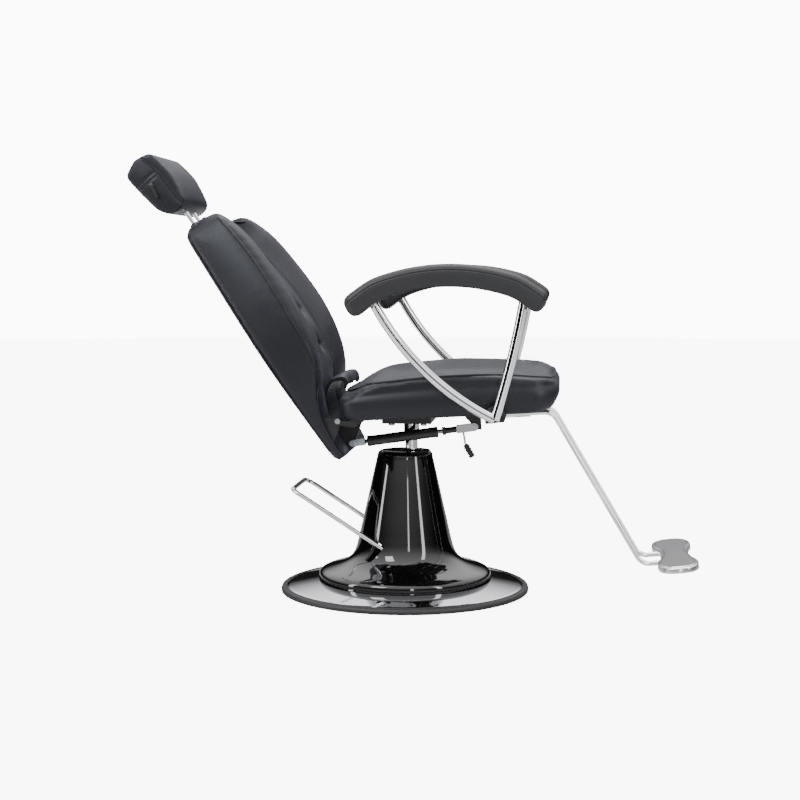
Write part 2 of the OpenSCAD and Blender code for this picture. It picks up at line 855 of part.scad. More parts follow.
module seat_board() {
  color(c_wood)
    seat_frame()
      difference() {
        board_blank(board_t);
        for (y = frame_bolt_y)
          translate([frame_bolt_x, y, -1])
            cylinder(r = frame_bolt_r + run_gap, h = frame_bolt_in + 2);
      }
}

module seat_cushion() {
  color(c_vinyl)
    seat_frame()
      difference() {
        intersection() {
          linear_extrude(height = 2 * seat_crown)
            polygon(seat_plan(0));
          slab(rounded([[-seat_rear + 2, 0, 10], [seat_front - 23, 0, 22], [seat_front + 1, 50, 36],
            [seat_front - 12, seat_crown - 15, 32], [110, seat_crown, 500],
            [-60, seat_crown - 4, 160], [-seat_rear - 1, seat_crown - 41, 20]]), -seat_w, seat_w);
        }
        translate([0, 0, -1])
          board_blank(board_t + 1);
      }
}

// ---- Arms ----

module arm_rear_tube(s) {
  y = s * arm_y;
  color(c_chrome)
    difference() {
      arch(rear_top, rear_mid, vee, arm_d / 2, y);
      arch(rear_top, rear_mid, vee, arm_d / 2 - arm_wall, y);
      arch(front_top, front_mid, vee, arm_d / 2 + 0.02, y);
    }
}

module arm_front_tube(s) {
  y = s * arm_y;
  color(c_chrome)
    difference() {
      arch(front_top, front_mid, vee, arm_d / 2, y);
      arch(front_top, front_mid, vee, arm_d / 2 - arm_wall, y);
    }
}

module arm_pad(s) {
  y = s * pad_y;
  a0 = pad_ends[0];
  a1 = pad_ends[1];
  color(c_vinyl)
    difference() {
      intersection() {
        translate([pad_c[0], y, pad_c[1]])
          rotate([90, 0, 0])
            rotate_extrude($fn = 180)
              translate([pad_in_r, 0])
                polygon(rounded([[0, -pad_w / 2 + 2, 6], [pad_t, -pad_w / 2, 14],
                  [pad_t, pad_w / 2, 14], [0, pad_w / 2 - 2, 6]], 5));
        slab(rounded([pad_pt(pad_r, a0, 24), pad_pt(pad_r + 60, (a0 + a1) / 2, 0),
          pad_pt(pad_r, a1, 24), pad_pt(pad_in_r, a1, 18),
          pad_pt(pad_in_r - 60, (a0 + a1) / 2, 0), pad_pt(pad_in_r, a0, 18)]),
          y - pad_w, y + pad_w);
      }
      arch(rear_top, rear_mid, vee, arm_d / 2 + run_gap, s * arm_y);
      arch(front_top, front_mid, vee, arm_d / 2 + run_gap, s * arm_y);
    }
}

// Point at radius r and angle a about the pad's centre of curvature
function pad_pt(r, a, round_r) = [pad_c[0] + r * cos(a), pad_c[1] + r * sin(a), round_r];

module arm_rear_tube_right() { arm_rear_tube(-1); }

module arm_rear_tube_left() { arm_rear_tube(1); }

module arm_front_tube_right() { arm_front_tube(-1); }

module arm_front_tube_left() { arm_front_tube(1); }

module arm_pad_right() { arm_pad(-1); }

module arm_pad_left() { arm_pad(1); }

module frame_bolts() {
  color(c_zinc)
    seat_frame()
      for (y = frame_bolt_y)
        translate([frame_bolt_x, y, -arm_bar_t]) {
          cylinder(r = frame_bolt_r, h = arm_bar_t + frame_bolt_in);
          translate([0, 0, -4])
            hex(2 * frame_bolt_r, 4);
        }
}

// ---- Footrest sockets ----

module footrest_sockets() {
  color(c_chrome)
    seat_frame()
      for (s = [-1, 1])
        difference() {
          pin_x(s * foot_span / 2, socket_zl, socket_r, socket_x[0], socket_x[1]);
          pin_x(s * foot_span / 2, socket_zl, foot_rod_d / 2 + run_gap, socket_x[0] - 1,
            socket_x[1] + 1);
          translate([socket_x[1] - 14, s * foot_span / 2, socket_zl])
            cylinder(r = 2.5 + run_gap, h = 20);
        }
}

module socket_screws() {
  color(c_chrome)
    seat_frame()
      for (s = [-1, 1])
        translate([socket_x[1] - 14, s * foot_span / 2, socket_zl + foot_rod_d / 2 + fit_gap]) {
          cylinder(r = 2.5, h = socket_wall + 1);
          translate([0, 0, socket_wall + 1])
            cylinder(r = 4.5, h = 4);
        }
}

// ---- Recline strut ----

module strut_bracket() {
  f = front_local;
  color(c_black)
    seat_frame()
      translate([0, strut_y, 0])
        difference() {
          union() {
            slab([[f[0] - 21, 0], [f[0] - 21, -18], [f[0] - 8, -32], [f[0] - 8, f[1] - 7],
              [f[0] + 17, f[1] - 7], [f[0] + 17, 0]], -plate_half, plate_half);
            translate([f[0] - 21, -plate_half, -4])
              cube([38, 34, 4]);
          }
          pin_y(f[0], f[1], strut_pin_r + run_gap, -10, 10);
        }
}

module strut_front_pin() {
  color(c_chrome)
    seat_frame()
      translate([0, strut_y, 0]) {
        pin_y(front_local[0], front_local[1], strut_pin_r, -fork_half - 1, fork_half + 1);
        for (s = [-1, 1])
          pin_y(front_local[0], front_local[1], pin_cap_r, s * (fork_half + 2.25) - 1.75,
            s * (fork_half + 2.25) + 1.75);
      }
}

module strut_rod() {
  color(c_chrome)
    strut_frame()
      pin_x(0, 0, strut_rod_d / 2, cyl_start + 40, fork_start - 0.1);
}

module strut_nut() {
  color(c_black)
    strut_frame()
      difference() {
        union() {
          translate([nut_start, 0, 0])
            rotate([0, 90, 0])
              hex(strut_rod_d / 2 + 5, 8);
          pin_x(0, 0, strut_rod_d / 2 + 2.5, nut_start + 8, fork_start - 0.1);
        }
        pin_x(0, 0, strut_rod_d / 2 + run_gap, nut_start - 1, fork_start + 1);
      }
}

module strut_fork() {
  color(c_chrome)
    strut_frame()
      difference() {
        union() {
          translate([fork_start, -fork_half, -fork_h])
            cube([strut_len - fork_start, 2 * fork_half, 2 * fork_h]);
          pin_y(strut_len, 0, fork_h, -fork_half, fork_half);
        }
        translate([fork_start + 8, -fork_slot, -20])
          cube([60, 2 * fork_slot, 40]);
        pin_y(strut_len, 0, strut_pin_r + run_gap, -20, 20);
        pin_y(strut_len - lever_back, -lever_drop, lever_pin_r + run_gap, -20, 20);
      }
}

module strut_cylinder() {
  color(c_black)
    strut_frame()
      difference() {
        union() {
          pin_x(0, 0, strut_d / 2, cyl_start, cyl_end);
          pin_x(0, 0, 5, 24, cyl_start);
        }
        pin_x(0, 0, strut_rod_d / 2 + run_gap, cyl_start + 4, cyl_end + 1);
      }
}

module strut_clevis() {
  color(c_zinc)
    strut_frame()
      difference() {
        union() {
          translate([0, -fork_half, -8])
            cube([30, 2 * fork_half, 16]);
          pin_y(0, 0, 8, -fork_half, fork_half);
        }
        translate([-20, -fork_slot, -20])
          cube([40, 2 * fork_slot, 40]);
        pin_y(0, 0, strut_pin_r + run_gap, -20, 20);
        pin_x(0, 0, 5 + run_gap, 24, 31);
      }
}

module strut_rear_pin() {
  color(c_zinc)
    strut_frame() {
      pin_y(0, 0, strut_pin_r, -fork_half - 1, fork_half + 1);
      for (s = [-1, 1])
        pin_y(0, 0, pin_cap_r, s * (fork_half + 2.25) - 1.75, s * (fork_half + 2.25) + 1.75);
    }
}

// Hangs from a cross pin in the fork
module release_lever() {
  color(c_chrome)
    translate([lever_p[0], strut_y, lever_p[1]]) {
      pin_y(0, 0, lever_pin_r, -fork_half - 1, fork_half + 1);
      pin_y(0, 0, 6, -plate_half, plate_half);
      rotate([0, 180 - lever_tilt, 0])
        translate([-shank[0] / 2, -shank[1] / 2, 3])
          cube([shank[0], shank[1], shank[2] - 3]);
    }
}

// Ribbed grip that stands on the end of the lever's shank
module release_paddle() {
  rib_pitch = 7.5;
  color(c_black)
    translate([lever_p[0], strut_y, lever_p[1]])
      rotate([0, 180 - lever_tilt, 0])
        translate([0, 0, shank[2] + shank[0] / 2 * tan(paddle_tilt) + 0.02])
          rotate([0, -paddle_tilt, 0]) {
            translate([-paddle[0] / 2, -paddle[1] / 2, 0])
              cube(paddle);
            for (i = [0:3])
              translate([-paddle[0] / 2 - 2, -paddle[1] / 2 + 1, 5 + i * rib_pitch])
                cube([paddle[0] + 4, paddle[1] - 2, rib_pitch - 4]);
          }
}

module hinge_bolts() {
  y0 = hinge_y - 8;
  y1 = hinge_y + 2 * ear_t + 1.5;
  color(c_zinc)
    for (s = [-1, 1]) {
      pin_y(hinge_x, hinge_z, hinge_d / 2, s > 0 ? y0 : -y1, s > 0 ? y1 : -y0);
      translate([hinge_x, s * y1, hinge_z])
        rotate([s > 0 ? -90 : 90, 0, 0])
          hex(hinge_d / 2 + 3, 5);
      translate([hinge_x, s * y0, hinge_z])
        rotate([s > 0 ? -90 : 90, 0, 0])
          hex(hinge_d / 2 + 2.5, 6);
    }
}

// ---- Backrest ----

// Outline across the backrest: Y and height up the back, moved inwards
function back_outline(inset) = let (h = back_half - inset, side = [
  [h - 41, -back_tail + inset, 26], [h, 190, 600],
  [h - 69, back_top - 26 - inset, 42]])
  rounded(concat(side, [[0, back_top + 4 - inset, 760]], reversed(mirrored(side))), 8);

// Side outline of the padding: distance in front of the hinge, and height up the back
back_side = [[board_n, -back_tail + 2, 0], [skin_n, -back_tail + 2, 0], [skin_n, 4, 30],
  [-12, 62, 60], [24, 118, 40], [66, 205, 120], [82, 300, 300], [79, 430, 200],
  [58, back_top - 58, 90], [16, back_top - 6, 60], [board_n, back_top - 4, 0]];

module post_channels(gap, from_u) {
  for (s = [-1, 1])
    translate([panel_n - 20, s * post_span / 2 - sleeve_r - gap, from_u])
      cube([back_board_t + 40, 2 * (sleeve_r + gap), back_top]);
}

module back_board() {
  color(c_wood)
    back_frame()
      difference() {
        sheet(back_outline(6), panel_n, board_n);
        post_channels(1, 380);
      }
}

module back_panel() {
  color(c_vinyl)
    back_frame()
      sheet(back_outline(0), panel_n - back_panel_t, panel_n);
}

module back_cushion() {
  color(c_vinyl)
    back_frame()
      difference() {
        intersection() {
          sheet(back_outline(0), board_n, 120);
          slab(rounded(back_side), -back_w, back_w);
        }
        translate([0, 0, -back_tail])
          linear_extrude(height = 2 * back_top)
            polygon([[34, -valley_w / 2], [130, -valley_w / 2 - 70], [130, valley_w / 2 + 70],
              [34, valley_w / 2]]);
        translate([board_n - 1, strut_y - plate_half - 2, -back_tail - 1])
          cube([20, 2 * plate_half + 4, back_tail - 4]);
        for (s = [-1, 1])
          translate([board_n - 1, s > 0 ? hinge_y - 25 : -back_w, -40])
            cube([20, back_w - hinge_y + 25, 76]);
      }
}

module back_hinge_plates() {
  color(c_black)
    back_frame()
      difference() {
        for (s = [-1, 1]) {
          translate([board_n, s > 0 ? hinge_y - 22 : -hinge_y - ear_t, -38])
            cube([4, 22 + ear_t, 72]);
          slab([[board_n, -38], [board_n, 34], [2, 6.6], [2, -6.6]],
            s > 0 ? hinge_y : -hinge_y - ear_t, s > 0 ? hinge_y + ear_t : -hinge_y);
          pin_y(0, 0, ear_r, s > 0 ? hinge_y : -hinge_y - ear_t,
            s > 0 ? hinge_y + ear_t : -hinge_y);
        }
        pin_y(0, 0, hinge_d / 2 + run_gap, -back_w, back_w);
      }
}

module strut_lug() {
  color(c_black)
    back_frame()
      translate([0, strut_y, 0])
        difference() {
          union() {
            slab([[board_n, -72], [lug_n + 2, lug_u - 8], [lug_n + 8, lug_u + 2], [0, -50],
              [21, -33], [8, -17], [board_n, -10]], -plate_half, plate_half);
            pin_y(lug_n, lug_u, strut_pin_r + lug_play + 3, -plate_half, plate_half);
          }
          pin_y(lug_n, lug_u, strut_pin_r + lug_play, -20, 20);
        }
}

module headrest_sleeves() {
  color(c_black)
    back_frame()
      for (s = [-1, 1])
        translate([post_n, s * post_span / 2, sleeve_u[0]])
          difference() {
            cylinder(r = sleeve_r, h = sleeve_u[1] - sleeve_u[0]);
            translate([0, 0, -1])
              cylinder(r = post_d / 2 + run_gap, h = 120);
          }
}

module gap_flap() {
  color(c_vinyl)
    back_frame()
      slab(rounded([[-8.4, 66, 0], [-0.6, 78.6, 0], [28, 92, 24], [60, 84, 14], [61, 66, 6],
        [46, 58, 5], [44, 64, 0], [53, 71, 4], [50, 78, 4], [28, 85, 20], [2, 72, 8]], 3), -110, 110);
}

// ---- Headrest ----

module headrest_posts() {
  color(c_chrome)
    back_frame()
      for (s = [-1, 1])
        translate([post_n, s * post_span / 2, post_foot])
          cylinder(r = post_d / 2, h = post_top - post_foot);
}

// Block of the headrest's wooden core
module core_block() {
  translate([core[0][0], -core_half, core[1][0]])
    cube([core[0][1] - core[0][0], 2 * core_half, core[1][1] - core[1][0]]);
}

module headrest_core() {
  color(c_wood)
    back_frame()
      difference() {
        core_block();
        for (s = [-1, 1])
          translate([post_n, s * post_span / 2, back_top])
            cylinder(r = post_d / 2 + run_gap, h = post_top - back_top + fit_gap);
      }
}

module headrest_cushion() {
  color(c_vinyl)
    back_frame()
      difference() {
        slab(rounded([[post_n - 18, head_u, 6], [post_n + 16, head_u, 6],
          [-20, head_u + 10, 12], [-14, head_u + 80, 200],
          [-26, head_u + head_h - 2, 20], [-66, head_u + head_h + 4, 70],
          [-107, head_u + head_h - 16, 18], [-86, head_u + 24, 16]]), -head_w / 2, head_w / 2);
        core_block();
        for (s = [-1, 1])
          translate([post_n, s * post_span / 2, back_top])
            cylinder(r = (post_d / 2 + run_gap) / cos(15), h = head_gap + 22, $fn = 12);
      }
}

// ---- Footrest ----

module footrest_rods() {
  knee = to_seat(foot_knee);
  toe = to_seat(foot_toe);
  color(c_chrome)
    seat_frame()
      for (s = [-1, 1])
        translate([0, s * foot_span / 2, 0]) {
          pin_x(0, socket_zl, foot_rod_d / 2, socket_x[0] + 6, foot_end);
          swept_bar(bent_path([[foot_end - 3, 0, socket_zl, 0],
            [foot_drop_top[0], 0, socket_zl, foot_bend_r], [knee[0], 0, knee[1], foot_bend_r],
            [toe[0], 0, toe[1], 0]]), foot_bar_d / 2, [0, 1, 0]);
        }
}

// Puts children in the footrest frame: origin at the rod's knee, X along the plate
module foot_frame() {
  translate([foot_knee[0], 0, foot_knee[1]])
    rotate([0, -foot_tilt, 0])
      children();
}

// Outline of the footrest plate from above: waisted between two lobes, moved inwards
function foot_plan(inset) =
  let (w = foot_w / 2 - inset, x0 = foot_back + inset, x1 = foot_back + foot_depth - inset)
  let (half = [[x0 + 15, 0, 26], [x0 + 16, 62, 50], [x0, w - 78, 40], [x0 + 6, w, 34],
    [x1 - 6, w, 34], [x1, w - 78, 40], [x1 - 14, 62, 50]])
  rounded(concat(half, [[x1 - 14, 0, 0]], [for (p = reversed([for (i = [1:6]) half[i]]))
    [p[0], -p[1], p[2]]]), 6);

module footrest_plate() {
  color(c_chrome)
    foot_frame()
      difference() {
        translate([0, 0, foot_rise + foot_panel - foot_rim])
          linear_extrude(height = foot_rim)
            polygon(foot_plan(0));
        translate([0, 0, foot_rise - foot_rim])
          linear_extrude(height = foot_rim)
            polygon(foot_plan(4));
        for (s = [-1, 1])
          pin_x(s * foot_span / 2, 0, foot_rod_d / 2 + fit_gap, 0, foot_len + 1);
      }
}

// ---- Parts ----

floor_plate();
base_dome();
base_trim_ring();
column_cover();
pump_flange();
pump_bolts();
pump_reservoir();
pump_cylinder();
gland_cap();
rod_bush();
rod_wiper();
filler_plug();
pedal_pins();
plunger_housing();
foot_pedal();
pedal_yoke();
pump_plunger();
piston_head();
piston_seal();
piston_rod();
rod_hub();
seat_plate();
seat_plate_bolts();
seat_rails();
hinge_crossbar();
arm_crossbar();
seat_board();
seat_cushion();
arm_rear_tube_right();
arm_rear_tube_left();
arm_front_tube_right();
arm_front_tube_left();
arm_pad_right();
arm_pad_left();
frame_bolts();
footrest_sockets();
socket_screws();
strut_bracket();
strut_front_pin();
hinge_bolts();
release_lever();
release_paddle();
strut_rod();
strut_fork();
strut_nut();
strut_cylinder();
strut_clevis();
strut_rear_pin();
back_board();
back_panel();
back_cushion();
back_hinge_plates();
strut_lug();
headrest_sleeves();
gap_flap();
headrest_posts();
headrest_core();
headrest_cushion();
footrest_rods();
footrest_plate();
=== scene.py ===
"""Looks of a hydraulic barber chair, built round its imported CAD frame."""

import json
import logging
import math
from dataclasses import dataclass, field
from enum import Enum
from typing import Any, Callable, Iterable, Optional, Sequence, Union

import bmesh
import bpy
import numpy as np
from mathutils import Matrix, Vector
from mathutils.bvhtree import BVHTree


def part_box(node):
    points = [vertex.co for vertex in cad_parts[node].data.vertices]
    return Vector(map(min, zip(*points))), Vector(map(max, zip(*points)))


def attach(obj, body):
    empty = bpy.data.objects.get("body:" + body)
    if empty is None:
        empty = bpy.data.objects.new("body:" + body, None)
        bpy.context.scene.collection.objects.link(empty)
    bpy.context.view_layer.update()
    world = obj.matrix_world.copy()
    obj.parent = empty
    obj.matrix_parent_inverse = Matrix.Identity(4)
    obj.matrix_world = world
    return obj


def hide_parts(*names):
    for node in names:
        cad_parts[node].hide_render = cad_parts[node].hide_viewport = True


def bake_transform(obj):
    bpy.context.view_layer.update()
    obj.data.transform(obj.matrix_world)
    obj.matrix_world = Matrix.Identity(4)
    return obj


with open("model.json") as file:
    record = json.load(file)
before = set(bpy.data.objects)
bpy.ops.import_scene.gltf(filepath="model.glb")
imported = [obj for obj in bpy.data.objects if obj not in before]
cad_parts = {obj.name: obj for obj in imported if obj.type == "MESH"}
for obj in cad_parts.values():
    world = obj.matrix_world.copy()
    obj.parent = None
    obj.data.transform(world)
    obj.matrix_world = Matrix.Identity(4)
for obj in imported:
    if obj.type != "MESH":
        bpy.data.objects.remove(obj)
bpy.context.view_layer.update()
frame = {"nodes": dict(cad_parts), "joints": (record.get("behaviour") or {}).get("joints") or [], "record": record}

LOG = logging.getLogger("barber_chair")
MM = 0.001

Point = Sequence[float]
Table = Sequence[tuple[float, float]]
Colour = tuple[float, float, float]


class Slot(Enum):
    """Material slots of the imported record."""

    VINYL = "vinyl"
    ARM_PU = "arm_pu"
    RUBBER = "rubber"
    COVER_GLOSS = "cover_gloss"
    CHROME = "chrome"
    STEEL = "steel"
    ZINC = "zinc"
    BLACK_STEEL = "black_steel"
    WOOD = "wood"
    CAST_GREY = "cast_grey"
    BRONZE = "bronze"
    PLATE_ALU = "plate_alu"


class Side(Enum):
    """The two sides of the chair, with the sign of Y."""

    RIGHT = -1
    LEFT = 1

    @property
    def label(self) -> str:
        """Name of the side in lower case."""
        return self.name.lower()


# ---- Shader expressions ----


class Web:
    """A node material under construction."""

    def __init__(self, name: str) -> None:
        """Makes an empty material with its output and principled shader.

        Args:
            name: name of the material.
        """
        self.material = bpy.data.materials.new(name)
        self.material.use_nodes = True
        self.tree = self.material.node_tree
        self.tree.nodes.clear()
        self.shader = self.tree.nodes.new("ShaderNodeBsdfPrincipled")
        output = self.tree.nodes.new("ShaderNodeOutputMaterial")
        self.tree.links.new(self.shader.outputs[0], output.inputs[0])

    def node(self, kind: str, settings: Optional[dict[str, Any]] = None,
             sockets: Optional[dict[Union[int, str], Any]] = None, out: Union[int, str] = 0) -> "Sock":
        """Adds a node.

        Args:
            kind: node type.
            settings: node properties, set first; "stops" fills a colour ramp.
            sockets: values or links of the inputs.
            out: output to return.

        Returns:
            The wrapped output.
        """
        made = self.tree.nodes.new(kind)
        for key, value in (settings or {}).items():
            if key == "stops":
                ramp = made.color_ramp
                while len(ramp.elements) < len(value):
                    ramp.elements.new(0.5)
                for element, (place, colour) in zip(ramp.elements, value):
                    element.position = place
                    element.color = (*colour, 1.0)
            else:
                setattr(made, key, value)
        for key, value in (sockets or {}).items():
            self.feed(made.inputs[key], value)
        return Sock(self, made.outputs[out])

    def feed(self, socket: bpy.types.NodeSocket, value: Any) -> None:
        """Links or sets an input.

        Args:
            socket: the input.
            value: a Sock, a number or a tuple.
        """
        if isinstance(value, Sock):
            self.tree.links.new(value.socket, socket)
        elif socket.type == "RGBA" and len(value) == 3:
            socket.default_value = (*value, 1.0)
        else:
            socket.default_value = value

    def put(self, **values: Any) -> None:
        """Feeds inputs of the principled shader.

        Args:
            values: inputs by name, with underscores for spaces.
        """
        for key, value in values.items():
            self.feed(self.shader.inputs[key.replace("_", " ")], value)

    def coords(self) -> "Sock":
        """Object coordinates, in metres."""
        return self.node("ShaderNodeTexCoord", out="Object")

    def noise(self, scale: float, detail: float = 2.0, rough: float = 0.5,
              vector: Optional["Sock"] = None) -> "Sock":
        """Noise between 0 and 1.

        Args:
            scale: features per metre.
            detail: octaves.
            rough: strength of the finer octaves.
            vector: coordinates, or the object's.

        Returns:
            The noise value.
        """
        return self.node("ShaderNodeTexNoise", None, {
            "Vector": vector or self.coords(), "Scale": scale, "Detail": detail, "Roughness": rough})

    def cells(self, scale: float, feature: str = "F1", vector: Optional["Sock"] = None) -> "Sock":
        """Distance pattern of Voronoi cells.

        Args:
            scale: cells per metre.
            feature: Voronoi feature.
            vector: coordinates, or the object's.

        Returns:
            The distance value.
        """
        return self.node("ShaderNodeTexVoronoi", {"feature": feature}, {
            "Vector": vector or self.coords(), "Scale": scale}, out="Distance")

    def stretched(self, sx: float, sy: float, sz: float) -> "Sock":
        """Object coordinates scaled along each axis."""
        return self.node("ShaderNodeMapping", None, {"Vector": self.coords(), "Scale": (sx, sy, sz)})

    def mix(self, factor: "Sock", low: Colour, high: Colour) -> "Sock":
        """Blend of two colours by a factor."""
        return self.node("ShaderNodeMix", {"data_type": "RGBA"}, {0: factor, 6: low, 7: high}, out=2)

    def bump(self, height: "Sock", distance: float, strength: float = 1.0) -> None:
        """Feeds the shader's normal from a height.

        Args:
            height: height between 0 and 1.
            distance: metres for a height of 1.
            strength: strength of the effect.
        """
        self.put(Normal=self.node("ShaderNodeBump", None, {
            "Height": height, "Distance": distance, "Strength": strength}))


class Sock:
    """A shader output that takes part in arithmetic."""

    def __init__(self, web: Web, socket: bpy.types.NodeSocket) -> None:
        """Wraps an output.

        Args:
            web: the material it belongs to.
            socket: the output.
        """
        self.web = web
        self.socket = socket

    def maths(self, operation: str, *operands: Union["Sock", float]) -> "Sock":
        """A Math node of the given operation on the operands."""
        return self.web.node("ShaderNodeMath", {"operation": operation}, dict(enumerate(operands)))

    def __add__(self, other: Union["Sock", float]) -> "Sock":
        """Sum."""
        return self.maths("ADD", self, other)

    def __radd__(self, other: float) -> "Sock":
        """Sum with a number on the left."""
        return self.maths("ADD", other, self)

    def __sub__(self, other: Union["Sock", float]) -> "Sock":
        """Difference."""
        return self.maths("SUBTRACT", self, other)

    def __rsub__(self, other: float) -> "Sock":
        """Difference with a number on the left."""
        return self.maths("SUBTRACT", other, self)

    def __mul__(self, other: Union["Sock", float]) -> "Sock":
        """Product."""
        return self.maths("MULTIPLY", self, other)

    def __rmul__(self, other: float) -> "Sock":
        """Product with a number on the left."""
        return self.maths("MULTIPLY", other, self)

    def between(self, low: float, high: float) -> "Sock":
        """0 below low, 1 above high, smooth between."""
        return self.web.node("ShaderNodeMapRange", {"interpolation_type": "SMOOTHSTEP"}, {
            "Value": self, "From Min": low, "From Max": high})


# ---- Finishes ----


@dataclass(frozen=True)
class Finish:
    """A surface finish: even paint with a faint orange peel."""

    name: str
    colour: Colour
    rough: float = 0.4
    metal: float = 0.0

    def material(self) -> bpy.types.Material:
        """The finish as a material, made once.

        Returns:
            The material.
        """
        found = bpy.data.materials.get(self.name)
        if found:
            return found
        web = Web(self.name)
        self.dress(web)
        return web.material

    def shade(self, by: float) -> Colour:
        """The colour multiplied by a factor."""
        return tuple(min(1.0, c * by) for c in self.colour)

    def dress(self, web: Web) -> None:
        """Wires the shader.

        Args:
            web: the material.
        """
        cloud = web.noise(14, 3)
        peel = web.noise(420, 2)
        web.put(Base_Color=web.mix(cloud, self.shade(0.8), self.shade(1.25)),
                Roughness=cloud * 0.12 + peel * 0.06 + (self.rough - 0.08), Metallic=self.metal)
        web.bump(peel, 0.00012, 0.35)


@dataclass(frozen=True)
class Leather(Finish):
    """Smooth upholstery leather-cloth: pebbled grain, soft sheen, rubbed patches."""

    grain: float = 620.0
    depth: float = 0.00022
    sheen: float = 0.05

    def dress(self, web: Web) -> None:
        """Wires the shader.

        Args:
            web: the material.
        """
        broad = web.noise(5.5, 3, 0.55)
        pores = web.cells(self.grain)
        wrinkle = web.noise(150, 4, 0.6)
        worn = broad.between(0.52, 0.78)
        web.put(Base_Color=web.mix(worn * 0.6 + wrinkle * 0.3, self.shade(0.82), self.shade(1.45)),
                Roughness=worn * -0.08 + wrinkle * 0.12 + pores * 0.08 + (self.rough - 0.06),
                Sheen_Weight=self.sheen, Sheen_Roughness=0.45,
                Sheen_Tint=(0.66, 0.74, 1.0, 1.0), Specular_IOR_Level=0.42,
                Specular_Tint=(0.86, 0.9, 1.0, 1.0))
        web.bump(pores * 0.55 + wrinkle * 0.45, self.depth, 0.5)


@dataclass(frozen=True)
class Moulded(Finish):
    """Self-skinned foam or moulded rubber: fine matte texture and faint flow marks."""

    speck: float = 900.0
    flow: Colour = (9.0, 9.0, 30.0)

    def dress(self, web: Web) -> None:
        """Wires the shader.

        Args:
            web: the material.
        """
        flow = web.noise(1.0, 3, 0.5, web.stretched(*self.flow))
        speck = web.noise(self.speck, 2, 0.6)
        dust = web.noise(60, 4, 0.65).between(0.55, 0.8)
        web.put(Base_Color=web.mix(flow * 0.6 + dust * 0.25, self.shade(0.8), self.shade(1.4)),
                Roughness=flow * 0.14 + speck * 0.1 + dust * 0.05 + (self.rough - 0.1))
        web.bump(speck * 0.7 + flow * 0.3, 0.00012, 0.45)


@dataclass(frozen=True)
class Gloss(Finish):
    """High-gloss moulding with a clear coat and hair-fine wipe marks."""

    def dress(self, web: Web) -> None:
        """Wires the shader.

        Args:
            web: the material.
        """
        wipes = web.noise(1.0, 3, 0.6, web.stretched(30, 30, 8))
        cloud = web.noise(7, 2)
        web.put(Base_Color=web.mix(cloud, self.shade(0.7), self.shade(1.3)),
                Roughness=wipes.between(0.5, 0.9) * 0.04 + cloud * 0.02 + self.rough,
                Coat_Weight=0.6, Coat_Roughness=0.03)
        web.bump(web.noise(18, 1), 0.00005, 0.1)


@dataclass(frozen=True)
class Chrome(Finish):
    """Polished plate with faint smears and pin-head specks."""

    def dress(self, web: Web) -> None:
        """Wires the shader.

        Args:
            web: the material.
        """
        smear = web.noise(28, 4, 0.6)
        specks = web.noise(520, 2).between(0.66, 0.8)
        web.put(Base_Color=web.mix(smear * 0.5 + specks * 0.4, self.shade(1.04), self.shade(0.86)),
                Roughness=smear * 0.05 + specks * 0.1 + self.rough, Metallic=1.0)
        web.bump(smear, 0.00004, 0.15)


@dataclass(frozen=True)
class Machined(Finish):
    """Turned, plated or brushed metal: fine lines along one axis, duller patches."""

    lines: Colour = (90.0, 90.0, 2400.0)

    def dress(self, web: Web) -> None:
        """Wires the shader.

        Args:
            web: the material.
        """
        line = web.noise(1.0, 3, 0.6, web.stretched(*self.lines))
        patch = web.noise(45, 4, 0.6)
        dull = patch.between(0.5, 0.75)
        web.put(Base_Color=web.mix(line * 0.5 + dull * 0.5, self.shade(1.15), self.shade(0.68)),
                Roughness=line * 0.16 + dull * 0.16 + (self.rough - 0.08), Metallic=self.metal)
        web.bump(line, 0.00006, 0.4)


@dataclass(frozen=True)
class Plywood(Finish):
    """Plywood: long grain, layered edges."""

    def dress(self, web: Web) -> None:
        """Wires the shader.

        Args:
            web: the material.
        """
        grain = web.noise(1.0, 5, 0.65, web.stretched(8, 120, 120))
        plies = web.node("ShaderNodeTexWave", {"bands_direction": "Z"}, {
            "Vector": web.coords(), "Scale": 110.0, "Distortion": 0.6, "Detail": 2.0}, out="Fac")
        web.put(Base_Color=web.mix(grain * 0.65 + plies * 0.35, self.shade(0.62), self.shade(1.25)),
                Roughness=grain * 0.2 + 0.5)
        web.bump(grain, 0.0003, 0.5)


@dataclass(frozen=True)
class Casting(Finish):
    """Painted sand casting: pitted skin with oily darker patches."""

    def dress(self, web: Web) -> None:
        """Wires the shader.

        Args:
            web: the material.
        """
        pits = web.noise(240, 5, 0.7)
        oil = web.noise(18, 3).between(0.5, 0.72)
        web.put(Base_Color=web.mix(pits * 0.6 + oil * 0.4, self.shade(1.3), self.shade(0.55)),
                Roughness=pits * 0.25 + oil * -0.18 + self.rough, Metallic=self.metal)
        web.bump(pits, 0.0005, 0.6)


LEATHER = Leather("leather_charcoal", (0.0052, 0.0053, 0.0066), 0.4)
PIPING = Leather("piping_black", (0.0025, 0.0025, 0.003), 0.36, grain=1100.0, depth=0.0001, sheen=0.0)
THREAD = Leather("thread_grey", (0.02, 0.0205, 0.023), 0.6, grain=2400.0, depth=0.0002, sheen=0.0)
ARM_SKIN = Moulded("arm_skin", (0.0095, 0.0097, 0.0118), 0.48)
RUBBER = Moulded("ring_rubber", (0.014, 0.0145, 0.016), 0.5, flow=(14.0, 14.0, 40.0))
COVER = Gloss("cover_black", (0.0016, 0.0016, 0.002), 0.05)
CHROME = Chrome("chrome_plate", (0.9, 0.91, 0.93), 0.03)
STEEL = Machined("machined_steel", (0.44, 0.45, 0.47), 0.32, 1.0)
ZINC = Machined("zinc_plate", (0.55, 0.6, 0.65), 0.28, 1.0, lines=(700.0, 90.0, 90.0))
BLACK_PAINT = Finish("satin_black_paint", (0.012, 0.012, 0.013), 0.36)
